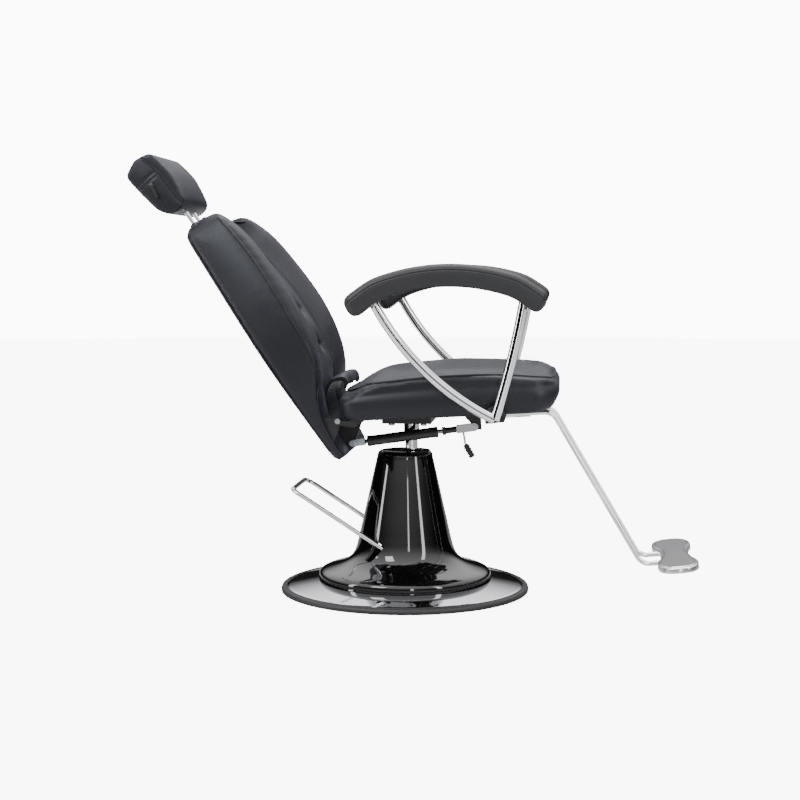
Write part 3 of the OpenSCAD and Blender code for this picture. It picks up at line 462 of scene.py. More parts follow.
WOOD = Plywood("plywood_stained", (0.02, 0.016, 0.012))
CAST = Casting("grey_casting", (0.07, 0.08, 0.09), 0.5)
BRONZE = Machined("bearing_bronze", (0.52, 0.34, 0.14), 0.3, 1.0)
ALLOY = Chrome("polished_alloy", (0.9, 0.905, 0.92), 0.2)
ZIP_METAL = Machined("zip_metal", (0.07, 0.07, 0.072), 0.35, 1.0, lines=(900.0, 900.0, 900.0))

SLOT_FINISH: dict[Slot, Finish] = {
    Slot.VINYL: LEATHER, Slot.ARM_PU: ARM_SKIN, Slot.RUBBER: RUBBER, Slot.COVER_GLOSS: COVER,
    Slot.CHROME: CHROME, Slot.STEEL: STEEL, Slot.ZINC: ZINC, Slot.BLACK_STEEL: BLACK_PAINT,
    Slot.WOOD: WOOD, Slot.CAST_GREY: CAST, Slot.BRONZE: BRONZE, Slot.PLATE_ALU: ALLOY}


# ---- Places and curves ----


def joint(name: str) -> dict[str, Any]:
    """The record of a joint by name."""
    return next(j for j in frame["joints"] if j["name"] == name)


def middle(node: str) -> Vector:
    """Centre of a CAD node's box, in metres."""
    low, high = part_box(node)
    return (low + high) / 2


def turned(origin: Vector, tilt: float) -> Matrix:
    """A frame in millimetres at an origin, turned about Y by tilt radians nose up."""
    return Matrix.Translation(origin) @ Matrix.Rotation(-tilt, 4, "Y") @ Matrix.Scale(MM, 4)


RAM_X = middle("piston_rod").x
WORLD = Matrix.Scale(MM, 4)
SEAT_AXIS = Vector(joint("footrest_slide")["axis"])
SEAT_TILT = math.atan2(SEAT_AXIS.z, SEAT_AXIS.x)
SEAT = turned(Vector((RAM_X, 0.0, 0.436)), SEAT_TILT)
BACK_AXIS = Vector(joint("headrest_slide")["axis"])
BACK_LEAN = math.atan2(-BACK_AXIS.x, BACK_AXIS.z)
BACK = turned(Vector(joint("recline")["pos_m"]), BACK_LEAN)


def smooth_at(table: Table, x: float) -> float:
    """Value of a smooth curve through a table.

    Args:
        table: pairs of place and value, by rising place.
        x: the place.

    Returns:
        The value, held at the ends.
    """
    if x <= table[0][0]:
        return table[0][1]
    if x >= table[-1][0]:
        return table[-1][1]
    i = max(k for k in range(len(table) - 1) if table[k][0] <= x)
    (x0, y0), (x1, y1) = table[i], table[i + 1]
    before, after = table[max(i - 1, 0)], table[min(i + 2, len(table) - 1)]
    span = x1 - x0
    m0 = (y1 - before[1]) / (x1 - before[0]) * span
    m1 = (after[1] - y0) / (after[0] - x0) * span
    t = (x - x0) / span
    return ((2 * t ** 3 - 3 * t * t + 1) * y0 + (t ** 3 - 2 * t * t + t) * m0
            + (3 * t * t - 2 * t ** 3) * y1 + (t ** 3 - t * t) * m1)


def ease(t: float) -> float:
    """Smooth step from 0 to 1, clamped."""
    t = min(1.0, max(0.0, t))
    return t * t * (3 - 2 * t)


def flowing(points: Sequence[Point], step: float, closed: bool = False) -> list[Vector]:
    """Points of a smooth curve through others.

    Args:
        points: the points to pass.
        step: distance between the new points.
        closed: whether the curve closes on itself.

    Returns:
        The new points.
    """
    known = [Vector(p) for p in points]
    n = len(known)
    made: list[Vector] = []
    for i in range(n if closed else n - 1):
        b, c = known[i], known[(i + 1) % n]
        a = known[i - 1] if closed or i else b
        d = known[(i + 2) % n] if closed or i + 2 < n else c
        parts = max(1, round((c - b).length / step))
        for k in range(parts):
            t = k / parts
            made.append(0.5 * (2 * b + (c - a) * t + (2 * a - 5 * b + 4 * c - d) * t * t
                               + (3 * b - a - 3 * c + d) * t ** 3))
    return made if closed else made + [known[-1]]


def arc_through(a: Point, b: Point, c: Point, parts: int) -> list[tuple[float, float]]:
    """Points of the arc through three points in a plane.

    Args:
        a: first point.
        b: point on the arc.
        c: last point.
        parts: number of stretches.

    Returns:
        The points from a to c.
    """
    d = 2 * (a[0] * (b[1] - c[1]) + b[0] * (c[1] - a[1]) + c[0] * (a[1] - b[1]))
    sa, sb, sc = (p[0] ** 2 + p[1] ** 2 for p in (a, b, c))
    ox = (sa * (b[1] - c[1]) + sb * (c[1] - a[1]) + sc * (a[1] - b[1])) / d
    oy = (sa * (c[0] - b[0]) + sb * (a[0] - c[0]) + sc * (b[0] - a[0])) / d
    radius = math.hypot(a[0] - ox, a[1] - oy)
    start = math.atan2(a[1] - oy, a[0] - ox)
    sweep = math.atan2(c[1] - oy, c[0] - ox) - start
    sweep -= 2 * math.pi * round(sweep / (2 * math.pi))
    return [(ox + radius * math.cos(start + sweep * i / parts),
             oy + radius * math.sin(start + sweep * i / parts)) for i in range(parts + 1)]


# ---- Pieces ----


def piece(name: str, mesh: bpy.types.Mesh, finish: Finish, body: str, slot: Slot,
          stands_for: Iterable[str] = (), sharp: float = 38.0) -> bpy.types.Object:
    """Puts a mesh in the scene as a piece of the chair.

    Args:
        name: name of the piece.
        mesh: its mesh, in metres and in place.
        finish: its finish.
        body: the body it rides on, or none.
        slot: the record's material slot; not used.
        stands_for: CAD nodes that it replaces.
        sharp: angle in degrees past which an edge stays sharp.

    Returns:
        The object.
    """
    mesh.name = name
    made = bpy.data.objects.new(name, mesh)
    bpy.context.scene.collection.objects.link(made)
    mesh.materials.clear()
    mesh.materials.append(finish.material())
    mesh.polygons.foreach_set("use_smooth", [True] * len(mesh.polygons))
    mesh.polygons.foreach_set("material_index", [0] * len(mesh.polygons))
    mesh.set_sharp_from_angle(angle=math.radians(sharp))
    if body:
        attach(made, body)
    for node in stands_for:
        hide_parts(node)
    LOG.info("%s: %d faces on %s", name, len(mesh.polygons), body)
    return made


class Shape:
    """A mesh under construction, in millimetres of a local frame."""

    def __init__(self, place: Matrix = WORLD) -> None:
        """Starts empty.

        Args:
            place: the local frame.
        """
        self.bm = bmesh.new()
        self.place = place

    def face(self, points: Sequence[Point], corner: float = 0.0, steps: int = 6) -> bmesh.types.BMFace:
        """A face from a few corner points.

        Args:
            points: the corners in order.
            corner: rounding of the corners, or 0.
            steps: segments of each rounding.

        Returns:
            The face.
        """
        made = self.bm.faces.new([self.bm.verts.new(p) for p in points])
        if corner:
            out = bmesh.ops.bevel(self.bm, geom=list(made.verts), offset=corner, segments=steps,
                                  profile=0.5, affect="VERTICES", material=-1)
            made = max({f for v in out["verts"] for f in v.link_faces}, key=lambda f: f.calc_area())
        return made

    def push(self, faces: Sequence[bmesh.types.BMFace], by: Point) -> list[bmesh.types.BMFace]:
        """Extrudes faces along a vector.

        Args:
            faces: the faces.
            by: the vector.

        Returns:
            The moved faces.
        """
        out = bmesh.ops.extrude_face_region(self.bm, geom=list(faces), use_keep_orig=True)
        moved = [e for e in out["geom"] if isinstance(e, bmesh.types.BMVert)]
        bmesh.ops.translate(self.bm, verts=moved, vec=Vector(by))
        return [e for e in out["geom"] if isinstance(e, bmesh.types.BMFace)]

    def slab(self, points: Sequence[Point], by: Point, corner: float = 0.0, steps: int = 6) -> None:
        """A flat outline pushed along a vector.

        Args:
            points: corners of the outline.
            by: the vector.
            corner: rounding of the outline's corners.
            steps: segments of each rounding.
        """
        self.push([self.face(points, corner, steps)], by)

    def block(self, low: Point, high: Point, edge: float = 0.0, steps: int = 2) -> None:
        """A box between two corners with rounded edges.

        Args:
            low: lowest corner.
            high: highest corner.
            edge: rounding of its edges.
            steps: segments of the rounding.
        """
        size = [h - l for l, h in zip(low, high)]
        centre = [(h + l) / 2 for l, h in zip(low, high)]
        out = bmesh.ops.create_cube(self.bm, size=1.0,
                                    matrix=Matrix.Translation(centre) @ Matrix.Diagonal((*size, 1.0)))
        if edge:
            edges = {e for v in out["verts"] for e in v.link_edges}
            bmesh.ops.bevel(self.bm, geom=list(edges), offset=edge, segments=steps, profile=0.5,
                            affect="EDGES", material=-1)

    def rod(self, a: Point, b: Point, r0: float, r1: Optional[float] = None, sides: int = 32,
            edge: float = 0.0) -> None:
        """A round bar or cone between two points.

        Args:
            a: first end.
            b: second end.
            r0: radius at the first end.
            r1: radius at the second end, or the same.
            sides: number of sides.
            edge: rounding of the end edges.
        """
        start, end = Vector(a), Vector(b)
        axis = end - start
        spot = Matrix.Translation((start + end) / 2) @ axis.to_track_quat("Z", "Y").to_matrix().to_4x4()
        out = bmesh.ops.create_cone(self.bm, cap_ends=True, cap_tris=False, segments=sides, radius1=r0,
                                    radius2=r0 if r1 is None else r1, depth=axis.length, matrix=spot)
        if edge:
            rims = {e for v in out["verts"] for e in v.link_edges
                    if any(len(f.verts) == sides for f in e.link_faces)}
            bmesh.ops.bevel(self.bm, geom=list(rims), offset=edge, segments=2, profile=0.5,
                            affect="EDGES", material=-1)

    def turned(self, profile: Sequence[Point], centre: Point = (0, 0, 0), steps: int = 192,
               closed: bool = False) -> None:
        """A profile in X and Z spun fully round the Z axis.

        Args:
            profile: pairs of radius and height.
            centre: a point on the axis.
            steps: steps of the spin.
            closed: whether the profile closes on itself.
        """
        verts = [self.bm.verts.new((centre[0] + r, centre[1], centre[2] + z)) for r, z in profile]
        pairs = list(zip(verts, verts[1:])) + ([(verts[-1], verts[0])] if closed else [])
        edges = [self.bm.edges.new(p) for p in pairs]
        bmesh.ops.spin(self.bm, geom=verts + edges, cent=Vector(centre), axis=(0, 0, 1),
                       angle=2 * math.pi, steps=steps, use_merge=True)

    def move(self, rule: Callable[[Vector], Vector]) -> None:
        """Moves each vertex by a rule from its place to its new place."""
        for vert in self.bm.verts:
            vert.co = rule(vert.co.copy())

    def mesh(self) -> bpy.types.Mesh:
        """Finishes the mesh: merged, facing outwards and in place.

        Returns:
            The mesh in metres.
        """
        bmesh.ops.remove_doubles(self.bm, verts=self.bm.verts, dist=0.002)
        bmesh.ops.recalc_face_normals(self.bm, faces=self.bm.faces)
        made = bpy.data.meshes.new("shape")
        self.bm.to_mesh(made)
        self.bm.free()
        made.transform(self.place)
        return made

    def done(self, name: str, finish: Finish, body: str, slot: Slot, stands_for: Iterable[str] = (),
             sharp: float = 38.0) -> bpy.types.Object:
        """Finishes the mesh as a piece; see piece() for the arguments."""
        return piece(name, self.mesh(), finish, body, slot, stands_for, sharp)


def evaluated(made: bpy.types.Object) -> bpy.types.Mesh:
    """A copy of an object's mesh with its modifiers applied."""
    graph = bpy.context.evaluated_depsgraph_get()
    return bpy.data.meshes.new_from_object(made.evaluated_get(graph))


def cord_mesh(paths: Sequence[Sequence[Vector]], radius: float, place: Matrix = WORLD,
              closed: bool = False, round_steps: int = 2) -> bpy.types.Mesh:
    """Round strands along paths, as one mesh.

    Args:
        paths: point lists, in the local frame.
        radius: radius of the strand in millimetres.
        place: the local frame.
        closed: whether each path closes on itself.
        round_steps: fineness of the round section.

    Returns:
        The mesh in metres.
    """
    curve = bpy.data.curves.new("strand", "CURVE")
    curve.dimensions = "3D"
    curve.bevel_depth = radius * MM
    curve.bevel_resolution = round_steps
    curve.use_fill_caps = True
    for path in paths:
        spline = curve.splines.new("POLY")
        spline.points.add(len(path) - 1)
        for spot, co in zip(spline.points, path):
            spot.co = (*(place @ Vector(co)), 1.0)
        spline.use_cyclic_u = closed
    holder = bpy.data.objects.new("strand", curve)
    bpy.context.scene.collection.objects.link(holder)
    made = evaluated(holder)
    bpy.data.objects.remove(holder)
    work = bmesh.new()
    work.from_mesh(made)
    bmesh.ops.remove_doubles(work, verts=work.verts, dist=1e-6)
    bmesh.ops.recalc_face_normals(work, faces=work.faces)
    work.to_mesh(made)
    work.free()
    return made


def strand(name: str, paths: Sequence[Sequence[Vector]], radius: float, finish: Finish, body: str,
           slot: Slot, place: Matrix = WORLD, closed: bool = False, round_steps: int = 2,
           stands_for: Iterable[str] = ()) -> bpy.types.Object:
    """Strands as a piece; see cord_mesh() and piece() for the arguments."""
    mesh = cord_mesh(paths, radius, place, closed, round_steps)
    return piece(name, mesh, finish, body, slot, stands_for, 60.0)


def dashes(path: Sequence[Vector], on: int, off: int) -> list[list[Vector]]:
    """Stitches along a path: runs of on points, off points apart."""
    return [list(path[i:i + on + 1]) for i in range(0, len(path) - on, on + off)]


# ---- Padding ----


@dataclass
class Padding:
    """A stuffed cushion: remeshed, swollen as cloth under pressure, then subdivided."""

    place: Matrix
    voxel: float = 6.0
    cap: float = 12.0
    pressure: float = 4.0
    frames: int = 20
    smoothing: int = 2
    evening: int = 12
    wrinkle: float = 0.12

    def remeshed(self, start: bpy.types.Mesh, rule: Callable[[Vector], Vector]) -> bpy.types.Mesh:
        """Voxel remesh of a start shape, then a rule moves its points.

        Args:
            start: the start shape in local metres.
            rule: moves a point in local millimetres.

        Returns:
            The remeshed shape in local metres.
        """
        holder = bpy.data.objects.new("padding", start)
        bpy.context.scene.collection.objects.link(holder)
        cut = holder.modifiers.new("voxels", "REMESH")
        cut.mode = "VOXEL"
        cut.voxel_size = self.voxel * MM
        made = evaluated(holder)
        bpy.data.objects.remove(holder)
        work = bmesh.new()
        work.from_mesh(made)
        for vert in work.verts:
            vert.co = rule(vert.co / MM) * MM
        for _ in range(self.smoothing):
            bmesh.ops.smooth_vert(work, verts=work.verts, factor=0.5, use_axis_x=True,
                                  use_axis_y=True, use_axis_z=True)
        work.to_mesh(made)
        work.free()
        return made

    def swollen(self, mesh: bpy.types.Mesh, held: Callable[[Vector], float]) -> bpy.types.Mesh:
        """The shape after a short cloth simulation under inner pressure.

        Args:
            mesh: the shape in local metres.
            held: how firmly a point in local millimetres is held, 0 to 1.

        Returns:
            The swollen and subdivided shape in local metres.
        """
        holder = bpy.data.objects.new("padding", mesh)
        bpy.context.scene.collection.objects.link(holder)
        firm = np.array([held(v.co / MM) for v in mesh.vertices])
        group = holder.vertex_groups.new(name="held")
        for index, weight in enumerate(firm):
            if weight > 0:
                group.add([index], float(weight), "REPLACE")
        cloth = holder.modifiers.new("swell", "CLOTH")
        cloth.settings.quality = 4
        cloth.settings.use_pressure = True
        cloth.settings.uniform_pressure_force = self.pressure
        cloth.settings.effector_weights.gravity = 0
        cloth.settings.vertex_group_mass = "held"
        cloth.collision_settings.use_collision = False
        for step in range(1, self.frames + 1):
            bpy.context.scene.frame_set(step)
        swelled = evaluated(holder)
        holder.modifiers.clear()
        bpy.context.scene.frame_set(1)
        self.take_on(mesh, swelled, firm)
        finer = holder.modifiers.new("finer", "SUBSURF")
        finer.levels = finer.render_levels = 1
        made = evaluated(holder)
        bpy.data.objects.remove(holder)
        return made

    def take_on(self, mesh: bpy.types.Mesh, swelled: bpy.types.Mesh, firm: np.ndarray) -> None:
        """Moves a shape outwards as its simulated copy did, evenly and no further than the cap.

        Args:
            mesh: the shape before the simulation.
            swelled: the shape after it.
            firm: how firmly each point is held.
        """
        rest, new = (np.array([v.co for v in m.vertices]) for m in (mesh, swelled))
        normal = np.array([v.normal for v in mesh.vertices])
        ends = np.array([e.vertices[:] for e in mesh.edges])
        raw = ((new - rest) * normal).sum(axis=1).clip(min=0) * (1 - firm)
        even = raw.copy()
        for _ in range(self.evening):
            total, count = np.zeros_like(even), np.full_like(even, 1e-9)
            for here, there in ((0, 1), (1, 0)):
                np.add.at(total, ends[:, here], even[ends[:, there]])
                np.add.at(count, ends[:, here], 1)
            even = (even + total / count) / 2
        out = even + self.wrinkle * (raw - even)
        LOG.info("swelled by %.1f mm on average, %.1f mm at most", out.mean() / MM, out.max() / MM)
        out = self.cap * MM * np.tanh(out / (self.cap * MM))
        for vert, co in zip(mesh.vertices, rest + normal * out[:, None]):
            vert.co = co

    def settled(self, name: str, mesh: bpy.types.Mesh, rule: Callable[[Vector], Vector], body: str,
                stands_for: Iterable[str], finish: Finish = LEATHER) -> bpy.types.Object:
        """Args:
            name: name of the piece.
            mesh: the shape in local metres.
            rule: moves a point in local millimetres, for seams and tufts.
            body: the body it rides on.
            stands_for: CAD nodes that it replaces.
            finish: its leather.

        Returns:
            The object.
        """
        for vert in mesh.vertices:
            vert.co = rule(vert.co / MM) * MM
        mesh.transform(self.place @ Matrix.Scale(1 / MM, 4))
        made = piece(name, mesh, finish, body, Slot.VINYL, stands_for, 179.0)
        return made


class Skin:
    """The surface of a finished piece, for laying seams on it."""

    def __init__(self, made: bpy.types.Object, place: Matrix) -> None:
        """Reads the piece.

        Args:
            made: the piece.
            place: the local frame for points.
        """
        self.place = place
        self.back = place.inverted()
        mesh = made.data
        self.tree = BVHTree.FromPolygons([v.co for v in mesh.vertices], [p.vertices for p in mesh.polygons])

    def hit(self, start: Point, towards: Point, sink: float = 0.0) -> Vector:
        """Where a ray meets the surface.

        Args:
            start: start of the ray in local millimetres.
            towards: a point that the ray passes.
            sink: how far to go below the surface.

        Returns:
            The point in local millimetres; the target if nothing is met.
        """
        a, b = self.place @ Vector(start), self.place @ Vector(towards)
        way = (b - a).normalized()
        found, _, _, _ = self.tree.ray_cast(a, way)
        if found is None:
            return Vector(towards)
        return self.back @ (found + way * sink * MM)


# ---- Base ----


@dataclass
class Base:
    """Chromed dome, rubber trim ring and gloss column cover."""

    ring_radius: float = 300.0
    ring_inner: float = 287.0
    ring_height: float = 13.0
    dome_radius: float = 1490.0
    dome_hole: float = 121.0
    sheet: float = 3.0
    top: float = 340.0
    ram_hole: float = 21.0
    slot_y: float = 100.0
    pedal_slot: Table = ((20, 64.3), (-130, 93.2), (-130, 178), (20, 81))
    cover_profile: Table = (
        (209.0, 27.0), (209.0, 38.0), (207.0, 44.5), (200.5, 50.0), (189.0, 54.5), (174.0, 59.0),
        (159.0, 64.0), (145.5, 70.0), (134.5, 77.5), (126.5, 86.5), (120.5, 98.0), (115.7, 113.0),
        (110.4, 135.0), (104.0, 163.0), (90.5, 222.0), (77.5, 280.0), (68.0, 322.0), (66.0, 331.0),
        (62.5, 336.5), (56.0, 339.5))

    def dome_height(self, r: float) -> float:
        """Height of the dome's skin.

        Args:
            r: distance from the axis.

        Returns:
            The height over the floor.
        """
        drop = self.dome_radius - math.sqrt(self.dome_radius ** 2 - self.ring_inner ** 2)
        top = self.ring_height + drop
        return top - self.dome_radius + math.sqrt(self.dome_radius ** 2 - r * r)

    def build(self) -> None:
        """Makes the dome, the ring and the cover."""
        self.dome()
        self.ring()
        self.cover()

    def dome(self) -> None:
        """A spun shell whose rim turns down inside the trim ring."""
        shape = Shape()
        rim = self.ring_inner - 0.4
        stretch = rim - 2 - self.dome_hole
        radii = [self.dome_hole + stretch * i / 24 for i in range(25)]
        skin = [(r, self.dome_height(r)) for r in radii]
        under = [(r, z - self.sheet) for r, z in reversed(skin)]
        lip = [(rim, skin[-1][1] - 1.5), (rim, 8.0), (rim - self.sheet, 8.0)]
        shape.turned(skin + lip + [(rim - self.sheet, under[0][1])] + under[1:], closed=True, steps=256)
        shape.done("base_dome_shell", CHROME, "base", Slot.CHROME, ["base_dome"])

    def ring(self) -> None:
        """A spun ring with a rounded nose and two fine grooves."""
        r, i, h = self.ring_radius, self.ring_inner, self.ring_height
        profile = [(i, 0.4), (r - 1.2, 0.0), (r, 1.0), (r, 3.4), (r - 0.5, 3.8), (r, 4.2), (r, h - 6.5),
                   (r - 0.7, h - 3.8), (r - 2.4, h - 1.6), (r - 4.8, h - 0.4), (r - 7.5, h + 0.6),
                   (r - 8.1, h + 0.2), (r - 8.7, h + 0.9), (i + 1.6, h + 1.9), (i, h + 1.3)]
        shape = Shape()
        shape.turned(profile, closed=True, steps=256)
        shape.done("rubber_trim", RUBBER, "base", Slot.RUBBER, ["base_trim_ring"])

    def cover(self) -> None:
        """The cover: a spun shell with slots for the pedal and a hole for the ram."""
        outer = flowing([(r, 0, z) for r, z in self.cover_profile], 3.0)
        profile = [(p.x, p.z) for p in outer] + [(self.ram_hole + 22, self.top)]
        inner = [(max(0.5, r - self.sheet), z - (self.sheet if z > 300 else 1.2 if z > 50 else 0.0))
                 for r, z in reversed(profile)]
        shape = Shape()
        shape.turned(profile + [(self.ram_hole + 22, self.top - self.sheet)] + inner[1:],
                     closed=True, steps=256)
        shell = shape.mesh()
        holder = bpy.data.objects.new("cover", shell)
        bpy.context.scene.collection.objects.link(holder)
        cutters = Shape()
        for side in Side:
            y = side.value * self.slot_y
            cutters.slab([(x, y - 7, z) for x, z in self.pedal_slot], (0, 14, 0))
        knife = bpy.data.objects.new("knife", cutters.mesh())
        bpy.context.scene.collection.objects.link(knife)
        cut = holder.modifiers.new("slots", "BOOLEAN")
        cut.object = knife
        cut.operation = "DIFFERENCE"
        cut.solver = "EXACT"
        made = evaluated(holder)
        bpy.data.objects.remove(holder)
        bpy.data.objects.remove(knife)
        piece("cover_shell", made, COVER, "base", Slot.COVER_GLOSS, ["column_cover"], 40.0)
        cap = Shape(Matrix.Translation((RAM_X, 0, 0)) @ WORLD)
        hole, t = self.ram_hole, self.top
        cap.turned([(hole, t - 2.6), (hole, t + 0.6), (hole + 1.0, t + 1.4), (hole + 5, t + 1.4),
                    (hole + 6, t + 0.2), (44.5, t + 0.1), (45.0, t - 0.6), (45.0, t - 2.6)],
                   closed=True, steps=128)
        cap.done("cover_top_plate", COVER, "base", Slot.COVER_GLOSS)


# ---- Pedal ----


@dataclass
class Pedal:
    """Bent pedal bar with a turned-down end.

    rise is the raised arm's slope in degrees, start and length its stretch from the
    pivot, half the half width, kick and kick_turn the turned-down end.
    """

    pivot: Vector = field(default_factory=lambda: Vector(joint("pedal")["pos_m"]) / MM)
    rise: float = 32.9
    start: float = 14.0
    length: float = 310.0
    half: float = 100.0
    kick: float = 27.0
    kick_turn: float = 8.3
    bar: float = 5.5
    bend: float = 24.0

    def spot(self, along: float, y: float, up: float) -> Vector:
        """A point of the pedal from its place on the raised arm.

        Args:
            along: distance from the pivot.
            y: distance from the middle.
            up: height over the arm.

        Returns:
            The point in millimetres.
        """
        a = math.radians(self.rise)
        return self.pivot + Vector((-along * math.cos(a) - up * math.sin(a), y,
                                    along * math.sin(a) + up * math.cos(a)))

    def build(self) -> None:
        """The bar, as one smooth tube."""
        turn = math.radians(self.kick_turn)
        end = self.length + self.kick * math.cos(turn)
        drop = -self.kick * math.sin(turn)
        half, bend = self.half, self.bend
        path = [self.spot(self.start, -half, 0), self.spot(self.length - 8, -half, 0)]
        corner = [self.spot(end - bend + bend * math.sin(k * math.pi / 16),
                            -half + bend - bend * math.cos(k * math.pi / 16), drop * (0.4 + 0.6 * k / 8))
                  for k in range(9)]
        path += corner + [Vector((p.x, -p.y, p.z)) for p in reversed(corner)]
        path += [self.spot(self.length - 8, half, 0), self.spot(self.start, half, 0)]
        strand("pedal_bar", [path], self.bar, CHROME, "pedal", Slot.CHROME, round_steps=7,
               stands_for=["foot_pedal"])


# ---- Seat ----


@dataclass
class Seat:
    """Seat cushion with piping round its crown and stitched front panel."""

    half: float = 249.0
    front: float = 355.0
    rear: float = -142.0
    crown: float = 107.0
    edge_heights: Table = ((-143.0, 66.0), (-134.0, 69.8), (-93.5, 80.5), (0.0, 89.0), (116.6, 93.4),
                           (250.0, 89.0), (343.0, 78.4), (358.0, 72.0))
    seam_front: Table = ((-97, -225), (100, -249), (280, -242), (340, -218), (354, -160), (358, 0))
    swell: float = 2.0
    stitch_drop: float = 11.0

    def reach(self, x: float) -> float:
        """Half width of the seat at a place from front to back."""
        return smooth_at(((self.rear, self.half - 24), (100.0, self.half), (self.front, self.half - 14)), x)

    def lowered(self, co: Vector) -> Vector:
        """Start shape: the crown falls towards its edges and the walls bulge a little.

        Args:
            co: a point of the block.

        Returns:
            The moved point.
        """
        x, y, z = co
        lift = ease((z - 30) / 60)
        off = self.crown - smooth_at(self.edge_heights, x) - 5
        fall = off * min(1.0, abs(y) / self.reach(x)) ** 4
        round_out = 0.02 * math.sin(math.pi * min(1.0, max(0.0, z / 74))) - 0.022 * max(0.0, 1 - z / 14) ** 2
        x += (x - 100) * round_out
        y *= 1 + round_out
        return Vector((x, y, z - lift * fall - self.swell * ease((z - 60) / 20)))

    def held(self, co: Vector) -> float:
        """How firmly the board's faces and the lower edge hold.

        Args:
            co: a point.

        Returns:
            0 for free, 1 for held.
        """
        if co.z < 24:
            return 1.0
        return 0.65 * (1 - ease((co.z - 24) / 16))

    def build(self) -> None:
        """The cushion, its piping and its stitches."""
        node = frame["nodes"]["seat_cushion"]
        start = node.data.copy()
        start.transform(Matrix.Scale(MM, 4) @ SEAT.inverted())
        work = bmesh.new()
        work.from_mesh(start)
        bmesh.ops.remove_doubles(work, verts=work.verts, dist=1e-6)
        work.to_mesh(start)
        work.free()
        padding = Padding(SEAT, voxel=6.5, cap=8.0)
        mesh = padding.swollen(padding.remeshed(start, self.lowered), self.held)
        made = padding.settled("seat_pad", mesh, self.groove, "seat", ["seat_cushion"])
        skin = Skin(made, SEAT)
        ring = [skin.hit((p.x * 1.35 - 30, p.y * 1.4, p.z), (p.x * 0.2 + 60, p.y * 0.2, p.z), -0.6)
                for p in self.seam_path()]
        ring = flowing(ring[::2], 5.0, closed=True)
        strand("seat_piping", [ring], 3.0, PIPING, "seat", Slot.VINYL, SEAT, closed=True)
        below = [p - Vector((0, 0, self.stitch_drop)) for p in self.seam_path(3.0)]
        stitch = [skin.hit((p.x * 1.3 - 20, p.y * 1.35, p.z), (p.x * 0.2 + 60, p.y * 0.2, p.z), -0.15)
                  for p in below]
        strand("seat_stitches", dashes(stitch, 2, 1), 0.45, THREAD, "seat", Slot.VINYL, SEAT, round_steps=0)

    def seam_path(self, step: float = 8.0) -> list[Vector]:
        """The crown seam round the seat.

        Args:
            step: distance between its points.

        Returns:
            Points in the seat frame.
        """
        path = [*self.seam_front, *((x, -y) for x, y in reversed(self.seam_front[:-1]))]
        path += [(-136, 205), (-143, 160), (-143, 0), (-143, -160), (-136, -205)]
        line = flowing([(x, y, 0) for x, y in path], step, closed=True)
        return [Vector((p.x, p.y, smooth_at(self.edge_heights, p.x))) for p in line]

    def groove(self, co: Vector) -> Vector:
        """Pulls the cover in beside the crown seam.

        Args:
            co: a point.

        Returns:
            The moved point.
        """
        x, y, z = co
        wide = abs(y) / self.reach(x)
        if z < 40 or wide < 0.8 and -120 < x < 325:
            return co
        gap = z - smooth_at(self.edge_heights, x)
        pull = 2.6 * math.exp(-(gap / 5.5) ** 2)
        inward = Vector((60 - x, -y, 0)).normalized()
        return co + inward * pull


# ---- Arms ----


